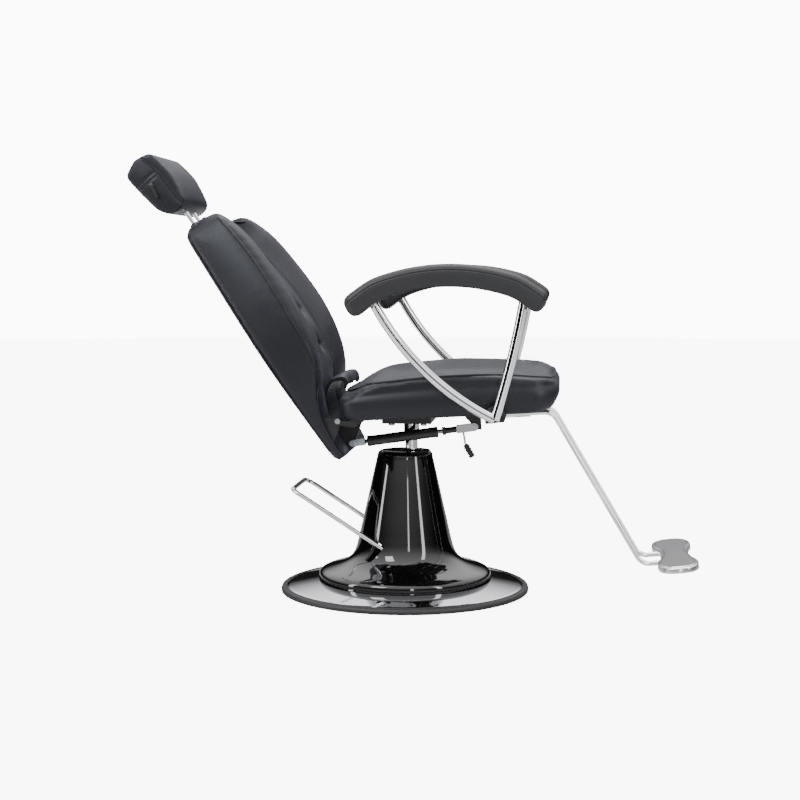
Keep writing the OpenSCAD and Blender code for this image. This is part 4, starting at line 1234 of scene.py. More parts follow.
@dataclass
class Arm:
    """One arm: two bent tubes that meet at the frame, with a curved moulded pad."""

    side: Side
    tube_y: float = 295.0
    tube: float = 11.0
    vee: Point = (229.0, 443.0)
    rear_top: Point = (-48.0, 715.0)
    rear_mid: Point = (68.0, 556.0)
    front_top: Point = (293.0, 715.0)
    front_mid: Point = (264.0, 571.0)
    centre: Point = (130.0, 319.0)
    outer: float = 468.0
    inner: float = 417.0
    ends: Point = (61.0, 122.0)
    pad_y: float = 305.0
    width: float = 66.0
    nose: float = 24.0
    nose_bulge: float = 11.0
    lug_outline: Table = ((206, 432), (252, 437), (250, 462), (232, 474), (212, 468))

    def build(self) -> None:
        """The tubes, the pad and the frame lugs."""
        self.tubes()
        self.pad()
        self.lugs()

    def tubes(self) -> None:
        """Chromed tubes as smooth bent bars."""
        y = self.side.value * self.tube_y
        for label, top, mid in (("rear", self.rear_top, self.rear_mid),
                                ("front", self.front_top, self.front_mid)):
            arc = [Vector((x, y, z)) for x, z in arc_through(top, mid, self.vee, 56)]
            strand(f"arm_{label}_bar_{self.side.label}", [arc], self.tube, CHROME, "seat", Slot.CHROME,
                   round_steps=7, stands_for=[f"arm_{label}_tube_{self.side.label}"])

    def section(self) -> list[tuple[float, float]]:
        """Section across the pad, with an edge line near the top.

        Returns:
            Pairs of offset from the middle and radius.
        """
        w, lo, hi = self.width / 2, self.inner, self.outer
        right = [(w - 9, lo), (w - 4.5, lo + 1.2), (w - 1.8, lo + 4.2), (w - 0.8, lo + 9), (w, lo + 20),
                 (w, hi - 17), (w - 0.4, hi - 15.2), (w - 1.9, hi - 14.4), (w - 2.0, hi - 13.4),
                 (w - 0.9, hi - 12.2), (w - 1.8, hi - 8.6), (w - 4.6, hi - 4.6), (w - 9.0, hi - 2.0),
                 (w - 15, hi - 0.7), (w - 22, hi - 0.1)]
        left = [(-a, r) for a, r in reversed(right)]
        return [(-9.0, lo), (9.0, lo)] + right + [(8.0, hi), (-8.0, hi)] + left

    def pad(self) -> None:
        """The moulded pad: its section spun about the centre of curvature, with rounded noses."""
        y0 = self.side.value * self.pad_y
        shape = Shape()
        a0, a1 = (math.radians(a) for a in self.ends)
        cx, cz = self.centre
        ring = [shape.bm.verts.new((cx + r * math.cos(a0), y0 + off, cz + r * math.sin(a0)))
                for off, r in self.section()]
        edges = [shape.bm.edges.new((a, b)) for a, b in zip(ring, ring[1:] + ring[:1])]
        bmesh.ops.spin(shape.bm, geom=ring + edges, cent=(cx, y0, cz), axis=(0, -1, 0),
                       angle=a1 - a0, steps=150)
        bmesh.ops.holes_fill(shape.bm, edges=[e for e in shape.bm.edges if e.is_boundary], sides=0)
        mid = (self.inner + self.outer) / 2

        def rule(co: Vector) -> Vector:
            """Draws the ends in to rounded, slightly hooked noses.

            Args:
                co: a point of the spun bar.

            Returns:
                The moved point.
            """
            r = math.hypot(co.x - cx, co.z - cz)
            a = math.atan2(co.z - cz, co.x - cx)
            gap = min(a - a0, a1 - a) * mid
            t = max(0.0, 1 - gap / self.nose)
            fit = max(math.sqrt(max(0.0, 1 - t ** 2.6)), 0.05)
            hook = self.nose_bulge * ease(1 - gap / 90)
            r = mid - hook + (r - mid) * fit
            y = y0 + (co.y - y0) * (0.25 + 0.75 * fit)
            return Vector((cx + r * math.cos(a), y, cz + r * math.sin(a)))

        shape.move(rule)
        made = shape.done(f"arm_rest_{self.side.label}", ARM_SKIN, "seat", Slot.ARM_PU,
                          [f"arm_pad_{self.side.label}"], 50.0)

    def lugs(self) -> None:
        """Welded lugs and bolts where the tubes meet the cross bar."""
        s = self.side.value
        y = s * (self.tube_y - self.tube - 0.3)
        lug = Shape()
        low, high = sorted((y, y - s * 5))
        lug.slab([(x, low, z) for x, z in self.lug_outline], (0, high - low, 0), 5.0, 4)
        lug.done(f"arm_lug_{self.side.label}", BLACK_PAINT, "seat", Slot.BLACK_STEEL)
        screws = Shape()
        for x, z in ((220, 455), (243, 452)):
            screws.rod((x, y - s * 5, z), (x, y - s * 9, z), 5.2, sides=6, edge=0.8)
            screws.rod((x, y - s * 9, z), (x, y - s * 11, z), 2.6, sides=20, edge=0.4)
        screws.done(f"arm_lug_nuts_{self.side.label}", ZINC, "seat", Slot.ZINC)


# ---- Backrest ----


@dataclass
class Backrest:
    """Back cushion with two bolsters, a tufted hollow, piping, a rear panel and the gap flap.

    The tables give heights over the hinge line by the height up the back: of the edge
    piping, of the bolsters' crest and of the inner seams.
    """

    half: float = 241.0
    top: float = 588.0
    tail: float = -78.0
    board: float = -57.0
    corner: float = 24.0
    block: float = 100.0
    swell: float = 5.0
    crest_in: float = 26.0
    piping: Table = ((-83.0, -38.0), (-51.0, -39.0), (1.0, -34.0), (38.0, -24.0), (70.0, -7.0), (104.0, 17.0),
                     (131.0, 31.0), (158.0, 38.0), (222.0, 44.0), (304.0, 48.0), (401.0, 49.0), (487.0, 41.0),
                     (540.0, 31.0), (575.0, 16.0), (592.0, 4.0))
    crest: Table = ((-83.0, -36.0), (-51.0, -36.0), (1.0, -32.0), (38.0, -19.0), (70.0, -1.0), (94.0, 12.0),
                    (117.0, 32.0), (149.0, 50.0), (218.0, 69.0), (298.0, 78.0), (418.0, 75.0), (479.0, 68.0),
                    (528.0, 53.0), (561.0, 36.0), (592.0, 6.0))
    seam: Table = ((-83.0, -38.0), (4.0, -36.0), (62.0, -14.0), (95.0, 4.0), (124.0, 24.0), (160.0, 33.0),
                   (207.0, 41.0), (312.0, 45.0), (398.0, 36.0), (480.0, 14.0), (540.0, -6.0),
                   (592.0, -22.0))
    tufts: Sequence[tuple[float, float]] = ((-54.0, 280.0), (54.0, 280.0), (-54.0, 181.0), (54.0, 181.0))
    tuft_depth: float = 13.0
    stitch_gap: float = 6.5
    flap_half: float = 108.0

    def reach(self, u: float) -> float:
        """Half width of the back at a height up the back."""
        return smooth_at(((-90.0, 198.0), (-20.0, 214.0), (90.0, 232.0), (190.0, self.half), (300.0, 231.0),
                          (420.0, 208.0), (520.0, 187.0), (562.0, 176.0), (592.0, 168.0)), u)

    def seam_y(self, u: float) -> float:
        """Distance of the inner seam from the middle."""
        return smooth_at(((-83.0, 92.0), (60.0, 98.0), (200.0, 108.0), (400.0, 112.0), (478.0, 113.0),
                          (530.0, 124.0), (592.0, 118.0)), u)

    def front(self, y: float, u: float) -> float:
        """Height of the padding's front over the hinge line.

        Args:
            y: distance across from the middle.
            u: height up the back.

        Returns:
            The height along the back's normal.
        """
        a, reach, seam_y = abs(y), self.reach(u), self.seam_y(u)
        edge, crest, seam = (smooth_at(t, u) for t in (self.piping, self.crest, self.seam))
        ridge = reach - self.crest_in
        if a < seam_y:
            return seam - 4.0 * (1 - (a / seam_y) ** 2)
        if a < ridge:
            t = (a - seam_y) / (ridge - seam_y)
            return seam + (crest - seam) * math.sin(t * math.pi / 2) ** 1.15
        t = min(1.0, (a - ridge) / (reach - ridge))
        return crest + (edge - crest) * (1 - math.sqrt(max(0.0, 1 - t * t)))

    def shaped(self, co: Vector) -> Vector:
        """Start shape: the flat block's points brought to the padding's front.

        Args:
            co: a point of the block.

        Returns:
            The moved point.
        """
        n, y, u = co
        t = (n - self.board) / self.block
        full = self.front(y, u)
        n = self.board + t * (full - self.swell * ease((full + 38) / 40) - self.board)
        behind = max(0.0, 1 - (n - self.board) / 16)
        hug = 6.0 * behind ** 2
        edge = ease((abs(y) - self.reach(u) + 30) / 30)
        tip = ease((u - self.top_edge(y) + 34) / 34) if abs(y) < 165 else ease((u - 530) / 30)
        drop = (hug * 0.5 + 3.0 * ease((n + 10) / 40) ** 2) * tip
        return Vector((n, y - math.copysign(hug * edge, y) - 1.5 * y / self.half, u - drop))

    def held(self, co: Vector) -> float:
        """How firmly the board side, the inner seams and the tufts hold.

        Args:
            co: a point.

        Returns:
            0 for free, 1 for held.
        """
        n, y, u = co
        if n < self.board + 18:
            return 1.0 - 0.5 * ease((n - self.board - 8) / 10)
        seam = math.exp(-((abs(y) - self.seam_y(u)) / 7) ** 2)
        tuft = max(math.exp(-((y - ty) ** 2 + (u - tu) ** 2) / 2 / 9 ** 2) for ty, tu in self.tufts)
        return min(1.0, max(seam * 0.92, tuft))

    def creased(self, co: Vector) -> Vector:
        """Sews the inner seams and the tufts into the padding.

        Args:
            co: a point.

        Returns:
            The moved point.
        """
        n, y, u = co
        if n < -45:
            return co
        a = abs(y)
        gap = a - self.seam_y(u)
        pull = 3.4 * math.exp(-(gap / 4.2) ** 2) + 2.5 * math.exp(-(gap / 16) ** 2)
        for ty, tu in self.tufts:
            d2 = (y - ty) ** 2 + (u - tu) ** 2
            pull += self.tuft_depth * math.exp(-d2 / 2 / 10 ** 2) + 4.5 * math.exp(-d2 / 2 / 26 ** 2)
            run = abs(y - ty)
            if run < 60:
                pull += 2.0 * math.exp(-((u - tu - 0.12 * run) / 5) ** 2) * math.exp(-(run / 26) ** 2)
        return Vector((n - pull * ease((n + 45) / 30), y, u))

    def outline(self, inset: float) -> list[tuple[float, float]]:
        """The back's outline.

        Args:
            inset: how far it is moved inwards.

        Returns:
            Pairs of places across and up.
        """
        tail, shoulder, corner = self.tail + inset, 524.0, self.corner
        low = [(self.reach(tail) - inset - corner * (1 - math.sin(k * math.pi / 12)),
                tail + corner * (1 - math.cos(k * math.pi / 12))) for k in range(6)]
        side = [(self.reach(u) - inset, u) for u in range(round(tail + corner), round(shoulder), 16)]
        wide = self.reach(shoulder) - inset
        bend = flowing([(wide, shoulder, 0), (wide - 4, 541 - inset, 0), (wide - 17, 557 - inset, 0),
                        (150 - inset, 565 - inset, 0)], 6.0)
        top = [(y, self.top_edge(y) - inset) for y in (125, 95, 60, 20)]
        half = low + side + [(p.x, p.y) for p in bend] + top
        return half + [(-y, u) for y, u in reversed(half)]

    def top_edge(self, y: float) -> float:
        """Height of the back's top edge at a place across."""
        return self.top + 4 - 30 * (abs(y) / 172) ** 1.15

    def build(self) -> None:
        """The cushion and everything sewn to it."""
        shape = Shape(Matrix.Scale(MM, 4))
        shape.slab([(self.board, y, u) for y, u in self.outline(1.5)], (self.block, 0, 0))
        start = shape.mesh()
        padding = Padding(BACK, voxel=6.0, cap=9.0)
        mesh = padding.swollen(padding.remeshed(start, self.shaped), self.held)
        made = padding.settled("back_pad", mesh, self.creased, "backrest", ["back_cushion"])
        self.seams(Skin(made, BACK))
        self.rear_panel()
        self.flap()

    def seams(self, skin: Skin) -> None:
        """Edge piping, inner seams, stitches and tuft buttons.

        Args:
            skin: the cushion's surface.
        """
        sides: list[list[Vector]] = []
        for s in (-1, 1):
            sides.append([self.rim(skin, s, u) for u in range(-70, 546, 12)])
        over = []
        for y in range(-146, 147, 12):
            n = self.front(y, self.top_edge(y) - 30) - 9
            over.append(skin.hit((n, y, 760), (n, y * 0.98, 300), -1.0))
        loop = flowing(sides[0] + over + list(reversed(sides[1])), 5.0)
        strand("back_piping", [loop], 3.1, PIPING, "backrest", Slot.VINYL, BACK)
        welts = []
        for s in (-1, 1):
            line = [skin.hit((300, s * self.seam_y(u), u), (-60, s * self.seam_y(u), u), 0.4)
                    for u in range(90, 552, 6)]
            welts.append(flowing(line, 4.0))
        strand("back_inner_welts", welts, 1.3, PIPING, "backrest", Slot.VINYL, BACK)
        runs: list[list[Vector]] = []
        for s in (-1, 1):
            beside = [(s * (self.seam_y(u) + self.stitch_gap), u) for u in range(92, 548, 2)]
            runs += dashes([skin.hit((300, y, u), (-60, y, u), -0.1) for y, u in beside], 2, 1)
            line = [skin.hit((-42, s * 420, u), (-42, 0, u), -0.1) for u in range(-56, 540, 2)]
            runs += dashes(line, 2, 1)
        strand("back_stitches", runs, 0.45, THREAD, "backrest", Slot.VINYL, BACK, round_steps=0)
        buttons = Shape(BACK)
        for y, u in self.tufts:
            spot = skin.hit((200, y, u), (-60, y, u))
            out = bmesh.ops.create_uvsphere(buttons.bm, u_segments=24, v_segments=12, radius=6.0,
                                            matrix=Matrix.Translation(spot + Vector((0.6, 0, 0)))
                                            @ Matrix.Diagonal((0.42, 1, 1, 1)))
            bmesh.ops.smooth_vert(buttons.bm, verts=out["verts"], factor=0.2, use_axis_x=True,
                                  use_axis_y=True, use_axis_z=True)
        buttons.done("back_buttons", LEATHER, "backrest", Slot.VINYL)

    def rim(self, skin: Skin, side: int, u: float) -> Vector:
        """Where the edge seam lies on one side of the back.

        Args:
            skin: the cushion's surface.
            side: -1 or 1.
            u: height up the back.

        Returns:
            A point just under the surface.
        """
        n = smooth_at(self.piping, u)
        for step in range(8):
            spot = skin.hit((n - 3 * step, side * 420, u), (n - 3 * step, 0, u), -1.0)
            if spot.y * side > self.reach(u) - 34:
                return spot
        return Vector((n, side * (self.reach(u) - 6), u))

    def rear_panel(self) -> None:
        """The plywood board and the rear panel with its rounded rim."""
        wood = Shape(BACK)
        wood.slab([(self.board + 0.5, y, u) for y, u in self.outline(17.0)], (13.5, 0, 0))
        wood.done("back_frame_board", WOOD, "backrest", Slot.WOOD, ["back_board"])
        shape = Shape(BACK)
        face = shape.face([(self.board + 1.5, y, u) for y, u in self.outline(7.5)])
        pushed = shape.push([face], (-5.0, 0, 0))
        rims = {e for f in pushed for e in f.edges}
        bmesh.ops.bevel(shape.bm, geom=list(rims), offset=3.6, segments=4, profile=0.5,
                        affect="EDGES", material=-1)
        shape.done("back_rear_cover", LEATHER, "backrest", Slot.VINYL, ["back_panel"])
        line = flowing([(self.board - 3.4, y, u) for y, u in self.outline(20.0)], 4.0, closed=True)
        strand("back_rear_seam", [line], 0.8, PIPING, "backrest", Slot.VINYL, BACK, closed=True)

    def flap(self) -> None:
        """The rolled vinyl flap over the gap between seat and back."""
        top = [(-8.0, 68), (2, 80.5), (14, 88), (28, 92), (44, 90.5), (56, 86.5), (61, 79), (60.5, 69),
               (55, 61), (47, 58.5)]
        low = [(43.5, 61.5), (48, 65.5), (52.5, 71), (50.5, 77.5), (42, 82.5), (28, 84.5), (15, 80),
               (3, 73), (-3, 66)]
        path = [(p.x, p.z) for p in flowing([(n, 0, u) for n, u in top + low], 3.0)]
        shape = Shape(BACK)
        parts = 44
        first = shape.face([(n, -self.flap_half, u) for n, u in path])
        for i in range(parts):
            pushed = shape.push([first], (0, 2 * self.flap_half / parts, 0))
            if i:
                bmesh.ops.delete(shape.bm, geom=[first], context="FACES")
            first = pushed[0]

        def rule(co: Vector) -> Vector:
            """Softens the flap: its ends curl down and its lip waves a little.

            Args:
                co: a point of the straight flap.

            Returns:
                The moved point.
            """
            n, y, u = co
            end = ease((abs(y) - 70) / (self.flap_half - 70))
            lip = ease((n - 5) / 50)
            return Vector((n - 7 * end * lip, y, u - 5 * end * lip + 1.1 * lip * math.sin(y / 17.0)))

        shape.move(rule)
        made = shape.done("gap_cover", LEATHER, "", Slot.VINYL, ["gap_flap"], 60.0)
        near, far = (BACK @ Vector(p) for p in ((-6, 0, 70), (60, 0, 76)))
        tuple(near)
        tuple(far)
        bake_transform(made)


# ---- Headrest ----


@dataclass
class Headrest:
    """Headrest pad with seams, a zip with its pull, and post collars."""

    half: float = 130.0
    profile: Table = ((-66, 621), (-36, 621), (-22, 632), (-13, 700), (-26, 766), (-66, 774),
                      (-106, 753), (-87, 646))
    side_round: float = 11.0
    swell: float = 1.0
    fullness: float = 1.03
    middle_point: Point = (-56.0, 698.0)
    front_seam: Table = ((618.0, -24.0), (640.0, -33.0), (680.0, -35.0), (720.0, -38.0),
                         (750.0, -46.0), (776.0, -56.0))
    zip_run: Table = ((-66, 708), (-65, 700), (-63, 688), (-61, 676), (-60, 664), (-58, 652), (-57, 642))
    post_n: float = -50.0
    post_y: float = 40.0

    def shrunk(self, co: Vector) -> Vector:
        """Start shape: the profile's block, a little narrower than the finished pad.

        Args:
            co: a point of the block.

        Returns:
            The moved point.
        """
        n, y, u = co
        mn, mu = self.middle_point
        y *= 1 - self.swell / self.half
        return Vector((mn + (n - mn) * self.fullness, y, mu + (u - mu) * self.fullness))

    def held(self, co: Vector) -> float:
        """How firmly the underside by the posts and the front seam hold.

        Args:
            co: a point.

        Returns:
            0 for free, 1 for held.
        """
        n, y, u = co
        if u < 632 and -75 < n < -35 and abs(y) < 60:
            return 0.9
        if abs(y) > 95:
            return 0.75 * math.exp(-((n - smooth_at(self.front_seam, u)) / 6) ** 2)
        return 0.0

    def creased(self, co: Vector) -> Vector:
        """Sews the seams of the end panels in.

        Args:
            co: a point.

        Returns:
            The moved point.
        """
        n, y, u = co
        if abs(y) < 100:
            return co
        pull = 2.6 * math.exp(-((n - smooth_at(self.front_seam, u)) / 4) ** 2)
        pull += 2.0 * math.exp(-((u - (722 + 0.12 * (n + 60))) / 3.4) ** 2) * ease((-36 - n) / 10)
        pull += 1.2 * math.exp(-((u - (713 + 0.12 * (n + 60))) / 3.0) ** 2) * ease((-36 - n) / 10)
        return Vector((n, y - math.copysign(pull * ease((abs(y) - 100) / 20), y), u))

    def build(self) -> None:
        """The pad, seams, zip and collars."""
        shape = Shape(Matrix.Scale(MM, 4))
        face = shape.face([(n, -self.half + 1, u) for n, u in self.profile], 10.0, 4)
        shape.push([face], (0, 2 * self.half - 2, 0))
        ends = {e for f in shape.bm.faces if abs(f.normal.y) > 0.9 or len(f.verts) > 8 for e in f.edges}
        bmesh.ops.bevel(shape.bm, geom=list(ends), offset=self.side_round, segments=4, profile=0.5,
                        affect="EDGES", material=-1, clamp_overlap=True)
        padding = Padding(BACK, voxel=4.5, cap=6.0)
        mesh = padding.swollen(padding.remeshed(shape.mesh(), self.shrunk), self.held)
        made = padding.settled("head_pad", mesh, self.creased, "headrest", ["headrest_cushion"])
        self.trim(Skin(made, BACK))

    def trim(self, skin: Skin) -> None:
        """Seams on the end panels, the zip and its pull.

        Args:
            skin: the pad's surface.
        """
        welts: list[list[Vector]] = []
        for s in (-1, 1):
            lines = [[(smooth_at(self.front_seam, u), u) for u in range(634, 766, 4)]]
            lines += [[(n, level + 0.12 * (n + 60)) for n in range(-92, -38, 3)] for level in (722.0, 713.0)]
            welts += [[skin.hit((n, s * 300, u), (n, 0, u), 0.3) for n, u in line] for line in lines]
        crown = smooth_at(self.front_seam, 764) - 4
        front = [skin.hit((crown, y, 900), (crown, y, 600), 0.2) for y in range(-96, 97, 6)]
        strand("head_welts", [flowing(w, 3.0) for w in welts + [front]], 1.2, PIPING, "headrest",
               Slot.VINYL, BACK)
        zip_line = [skin.hit((n, -300, u), (n, 0, u), -0.4) for n, u in self.zip_run]
        path = flowing(zip_line, 2.0)
        strand("head_zip_tape", [path], 1.5, PIPING, "headrest", Slot.VINYL, BACK)
        teeth = [[p + Vector((-1.4, -1.0, 0)), p + Vector((1.4, -1.0, 0))] for p in path]
        strand("head_zip_teeth", teeth, 0.5, ZIP_METAL, "headrest", Slot.STEEL, BACK, round_steps=1)
        top = path[4]
        pull = Shape(BACK)
        pull.block((top.x - 4.2, top.y - 5.2, top.z - 6), (top.x + 4.2, top.y - 0.6, top.z + 6), 1.2, 3)
        tab = ((-3.4, -5), (2.6, -5), (0.8, -31), (-8.6, -30))
        pull.slab([(top.x + n, top.y - 6.6, top.z + u) for n, u in tab], (0, 1.6, 0), 1.6, 3)
        pull.done("head_zip_pull", ZIP_METAL, "headrest", Slot.STEEL)
        self.round_posts([(5.4, 619.2), (9.5, 619.2), (11.0, 620.6), (11.0, 622.4), (5.4, 622.4)]).done(
            "head_post_collars", PIPING, "headrest", Slot.RUBBER)
        self.round_posts([(5.4, 574.0), (10.5, 574.0), (12.0, 581.0), (11.4, 584.0), (9.0, 586.5),
                          (5.4, 587.0)]).done("back_post_guides", BLACK_PAINT, "backrest", Slot.BLACK_STEEL)

    def round_posts(self, profile: Table) -> Shape:
        """A profile spun round each post.

        Args:
            profile: pairs of radius and height up the back.

        Returns:
            The two rings.
        """
        rings = Shape(BACK)
        for y in (-self.post_y, self.post_y):
            rings.turned(profile, (self.post_n, y, 0), 48, True)
        return rings


# ---- Recline strut ----


@dataclass
class Strut:
    """Small parts of the strut: threads on the rod and a band on the cylinder."""

    thread: float = 5.0
    thread_start: float = 78.4
    pitch: float = 1.5
    band: float = 13.0
    bands: Table = ((88.2, 94.0), (98.0, 99.6), (243.0, 244.6), (249.0, 256.8))

    def build(self) -> None:
        """Thread rings and cylinder bands."""
        front = Vector(joint("strut_pivot")["pos_m"]) / MM
        axis = Vector(joint("strut_slide")["axis"]).normalized()
        place = Matrix.Translation(front * MM) @ axis.to_track_quat("Z", "Y").to_matrix().to_4x4() @ WORLD
        threads = Shape(place)
        for i in range(9):
            z = self.thread_start + self.pitch * i
            root = self.thread - 0.1
            threads.turned([(root, z - 0.7), (root + 0.8, z), (root, z + 0.7)], steps=32, closed=True)
        threads.done("strut_threads", STEEL, "strut_rod", Slot.STEEL)
        bands = Shape(place)
        for z0, z1 in self.bands:
            bands.turned([(self.band - 0.6, z0), (self.band, z0 + 0.5), (self.band, z1 - 0.5),
                          (self.band - 0.6, z1)], steps=64, closed=True)
        bands.done("strut_bands", BLACK_PAINT, "strut_cylinder", Slot.BLACK_STEEL)


# ---- Footrest ----


@dataclass
class Footrest:
    """Bent rods and the waisted tread plate with raised lines."""

    span: float = 110.0
    bar: float = 6.1
    knee: Point = (567.0, 81.0)
    tilt: float = 6.5
    half: float = 190.0
    back: float = 34.0
    depth: float = 94.0
    top: float = 9.8
    rim: float = 13.0

    def build(self) -> None:
        """The rods and the plate."""
        self.rods()
        self.plate()

    def bent(self, a: Vector, b: Vector, c: Vector, radius: float) -> list[Vector]:
        """Points of a round bend.

        Args:
            a: a point before the bend.
            b: the corner.
            c: a point after the bend.
            radius: radius of the bend.

        Returns:
            The points.
        """
        u, v = (a - b).normalized(), (c - b).normalized()
        half = u.angle(v) / 2
        cut = radius / math.tan(half)
        start, end = b + u * cut, b + v * cut
        centre = b + (u + v).normalized() * radius / math.sin(half)
        return [centre + (start - centre).lerp(end - centre, t).normalized() * radius
                for t in [i / 14 for i in range(15)]]

    def rods(self) -> None:
        """Two bent chromed rods."""
        paths = []
        tilt = math.radians(self.tilt)
        knee = Vector((self.knee[0], 0, self.knee[1]))
        toe = knee + 96 * Vector((math.cos(tilt), 0, math.sin(tilt)))
        into = SEAT.inverted()
        local = [into @ (p * MM) for p in (knee, toe)]
        for s in (-1, 1):
            y = s * self.span / 2
            spots = [Vector((202, y, -15.3)), Vector((338, y, -15.3)), Vector((local[0].x, y, local[0].z)),
                     Vector((local[1].x, y, local[1].z))]
            paths.append([spots[0], *self.bent(*spots[:3], 32), *self.bent(*spots[1:], 32), spots[3]])
        strand("footrest_bars", paths, self.bar, CHROME, "footrest", Slot.CHROME, SEAT, round_steps=7,
               stands_for=["footrest_rods"])

    def outline(self, inset: float) -> list[tuple[float, float]]:
        """The plate's outline from above.

        Args:
            inset: how far it is moved inwards.

        Returns:
            Pairs of places along and across.
        """
        w, x0, x1 = self.half - inset, self.back + inset, self.back + self.depth - inset
        side = [(x0 + 15, 0), (x0 + 14, 32), (x0 + 9, 62), (x0 + 2.5, 92), (x0, 116), (x0 + 2.2, w - 42),
                (x0 + 9, w - 20), (x0 + 22, w - 5), (x0 + 38, w), (x1 - 38, w), (x1 - 22, w - 5),
                (x1 - 9, w - 20), (x1 - 2.2, w - 42), (x1, 116), (x1 - 2.5, 92), (x1 - 9, 62),
                (x1 - 13, 32), (x1 - 14, 0)]
        other = [(x, -y) for x, y in reversed(side[1:-1])]
        ring = flowing([(x, y, 0) for x, y in side + other], 5.0, closed=True)
        return [(p.x, p.y) for p in ring]

    def plate(self) -> None:
        """A dished casting with a rolled rim, raised tread lines and rod saddles."""
        place = turned(Vector((self.knee[0], 0, self.knee[1])) * MM, math.radians(self.tilt))
        shape = Shape(place)
        face = shape.face([(x, y, self.top - self.rim) for x, y in self.outline(0.0)])
        top = shape.push([face], (0, 0, self.rim))[0]
        bmesh.ops.bevel(shape.bm, geom=list(top.edges), offset=3.2, segments=4, profile=0.5,
                        affect="EDGES", material=-1)
        flat = max((f for f in shape.bm.faces if f.calc_center_median().z > self.top - 0.5),
                   key=lambda f: f.calc_area())
        bmesh.ops.inset_region(shape.bm, faces=[flat], thickness=5.0, depth=-0.8)
        bmesh.ops.inset_region(shape.bm, faces=[flat], thickness=1.2, depth=-1.1)
        under = min(shape.bm.faces, key=lambda f: f.calc_center_median().z - f.calc_area() / 1e5)
        bmesh.ops.inset_region(shape.bm, faces=[under], thickness=3.2, depth=0.0)
        bmesh.ops.translate(shape.bm, verts=list(under.verts), vec=(0, 0, self.rim - 6.2))
        shape.done("foot_plate", ALLOY, "footrest", Slot.PLATE_ALU, ["footrest_plate"], 30.0)
        lines: list[list[Vector]] = []
        x_mid = self.back + self.depth / 2
        for k in range(-4, 5):
            x = x_mid + k * 8.6
            inside = [y for y in range(-178, 179, 4) if self.inside(x, y)]
            for run in self.runs(inside):
                if len(run) > 3:
                    lines.append([Vector((x, y, self.top - 1.9)) for y in run])
        strand("foot_plate_treads", lines, 1.15, ALLOY, "footrest", Slot.PLATE_ALU, place, round_steps=1)
        saddles = Shape(place)
        for s in (-1, 1):
            y = s * self.span / 2
            saddles.block((self.back + 14, y - 9, -7.6), (self.back + self.depth - 30, y + 9, -5.6), 0.8)
            for x in (self.back + 22, self.back + self.depth - 38):
                saddles.rod((x, y, -10.4), (x, y, -7.4), 4.6, sides=6, edge=0.6)
        saddles.done("foot_plate_saddles", ZINC, "footrest", Slot.ZINC)

    def inside(self, x: float, y: float) -> bool:
        """Whether a tread point keeps clear of the rim.

        Args:
            x: place along the plate.
            y: place across the plate.

        Returns:
            True where a tread may run.
        """
        a = abs(y)
        w, x0, x1 = self.half - 14, self.back + 12, self.back + self.depth - 12
        waist = 15 * (1 - ease((a - 20) / 80))
        round_end = max(0.0, a - (w - 34)) / 34
        pinch = 30 * (1 - math.sqrt(max(0.0, 1 - min(1.0, round_end) ** 2)))
        return x0 + waist + pinch < x < x1 - waist - pinch and a < w

    def runs(self, values: Sequence[int]) -> list[list[int]]:
        """Splits rising numbers where they jump.

        Args:
            values: the numbers.

        Returns:
            Runs of even steps.
        """
        out: list[list[int]] = []
        for v in values:
            if out and v - out[-1][-1] <= 4:
                out[-1].append(v)
            else:
                out.append([v])
        return out


# ---- Studio ----


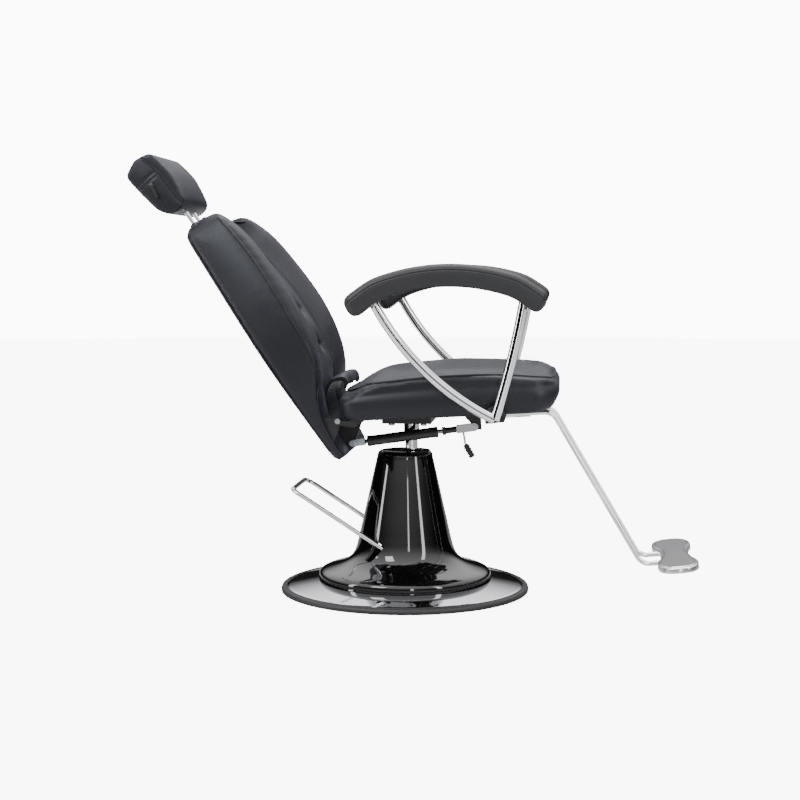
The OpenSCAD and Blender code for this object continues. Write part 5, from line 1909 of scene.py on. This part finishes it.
@dataclass
class Studio:
    """Pale floor, soft light and the camera.

    walls gives the brightness of the surroundings in reflections, from straight down
    to straight up; backdrop is their brightness as seen directly.
    """

    eye: Point = (0.37248, -3.66061, 0.77283)
    look: Point = (85.143, 0.0, 6.0)
    lens: float = 68.85
    walls: Table = ((0.0, 0.7), (0.3, 1.1), (0.4, 0.5), (0.43, 0.01), (0.58, 0.01), (0.61, 0.2),
                    (0.7, 1.3), (1.0, 2.4))
    backdrop: float = 11.0

    def build(self) -> None:
        """Makes the floor, the lights, the surroundings and the camera."""
        self.floor()
        self.surroundings()
        self.lamp("key", (-2.0, -3.0, 2.9), (0.0, 0.0, 0.5), (1.3, 1.5), 70)
        self.lamp("fill", (3.0, -2.4, 1.7), (0.1, 0.0, 0.4), (0.5, 2.4), 40)
        self.lamp("strip", (-2.9, -1.2, 0.9), (0.0, 0.0, 0.35), (0.4, 2.0), 26)
        self.lamp("front_strip", (0.9, -3.4, 0.6), (0.0, 0.0, 0.3), (0.22, 1.5), 9)
        self.lamp("top", (0.2, 0.4, 3.4), (0.0, 0.0, 0.4), (2.4, 2.4), 60)
        data = bpy.data.cameras.new("camera")
        data.lens = self.lens
        data.sensor_width = 36.0
        camera = bpy.data.objects.new("camera", data)
        camera.location = self.eye
        camera.rotation_euler = [math.radians(a) for a in self.look]
        bpy.context.scene.collection.objects.link(camera)
        bpy.context.scene.camera = camera

    def floor(self) -> None:
        """A wide pale floor."""
        work = bmesh.new()
        bmesh.ops.create_circle(work, cap_ends=True, segments=96, radius=14.0,
                                matrix=Matrix.Translation((0, 0, -0.0006)))
        mesh = bpy.data.meshes.new("floor")
        work.to_mesh(mesh)
        work.free()
        made = bpy.data.objects.new("floor", mesh)
        bpy.context.scene.collection.objects.link(made)
        web = Web("floor_pale")
        grain = web.noise(9, 2)
        web.put(Base_Color=web.mix(grain, (0.93, 0.93, 0.935), (0.96, 0.96, 0.965)),
                Roughness=grain * 0.1 + 0.6, Specular_IOR_Level=0.1, Alpha=0.22)
        mesh.materials.append(web.material)

    def surroundings(self) -> None:
        """A bright studio: white to the eye, with darker walls in reflections."""
        world = bpy.data.worlds.new("studio")
        bpy.context.scene.world = world
        world.use_nodes = True
        tree = world.node_tree
        tree.nodes.clear()
        coords = tree.nodes.new("ShaderNodeTexCoord")
        split = tree.nodes.new("ShaderNodeSeparateXYZ")
        tree.links.new(coords.outputs["Generated"], split.inputs[0])
        ramp = tree.nodes.new("ShaderNodeValToRGB")
        while len(ramp.color_ramp.elements) < len(self.walls):
            ramp.color_ramp.elements.new(0.5)
        for element, (place, value) in zip(ramp.color_ramp.elements, self.walls):
            element.position = place
            element.color = (value, value, value * 1.02, 1.0)
        up = tree.nodes.new("ShaderNodeMath")
        up.operation = "MULTIPLY_ADD"
        up.inputs[1].default_value = 0.5
        up.inputs[2].default_value = 0.5
        tree.links.new(split.outputs["Z"], up.inputs[0])
        tree.links.new(up.outputs[0], ramp.inputs[0])
        studio = tree.nodes.new("ShaderNodeBackground")
        tree.links.new(ramp.outputs[0], studio.inputs["Color"])
        studio.inputs["Strength"].default_value = 1.0
        seen = tree.nodes.new("ShaderNodeBackground")
        seen.inputs["Color"].default_value = (1.0, 1.0, 1.0, 1.0)
        seen.inputs["Strength"].default_value = self.backdrop
        path = tree.nodes.new("ShaderNodeLightPath")
        mix = tree.nodes.new("ShaderNodeMixShader")
        tree.links.new(path.outputs["Is Camera Ray"], mix.inputs[0])
        tree.links.new(studio.outputs[0], mix.inputs[1])
        tree.links.new(seen.outputs[0], mix.inputs[2])
        output = tree.nodes.new("ShaderNodeOutputWorld")
        tree.links.new(mix.outputs[0], output.inputs[0])

    def lamp(self, name: str, place: Point, aim: Point, size: Point, power: float) -> None:
        """A soft box lamp.

        Args:
            name: name of the lamp.
            place: where it hangs.
            aim: the point it faces.
            size: its width and height.
            power: its power in watts.
        """
        data = bpy.data.lights.new(name, "AREA")
        data.shape = "RECTANGLE"
        data.size, data.size_y = size
        data.energy = power
        lamp = bpy.data.objects.new(name, data)
        lamp.location = place
        lamp.rotation_euler = (Vector(aim) - Vector(place)).to_track_quat("-Z", "Y").to_euler()
        bpy.context.scene.collection.objects.link(lamp)


def dress_nodes() -> None:
    """Gives each CAD node the finish of its material slot."""
    for part in frame["record"]["subparts"]:
        node = frame["nodes"][part["node"]]
        finish = SLOT_FINISH[Slot(part["material_slot"])]
        node.data.materials.clear()
        node.data.materials.append(finish.material())


def main() -> None:
    """Builds the chair's sub-assemblies in order."""
    logging.basicConfig(level=logging.INFO, format="%(message)s")
    Studio().build()
    dress_nodes()
    Base().build()
    Pedal().build()
    Seat().build()
    for side in Side:
        Arm(side).build()
    Backrest().build()
    Headrest().build()
    Strut().build()
    Footrest().build()


if __name__ == "__main__":
    main()
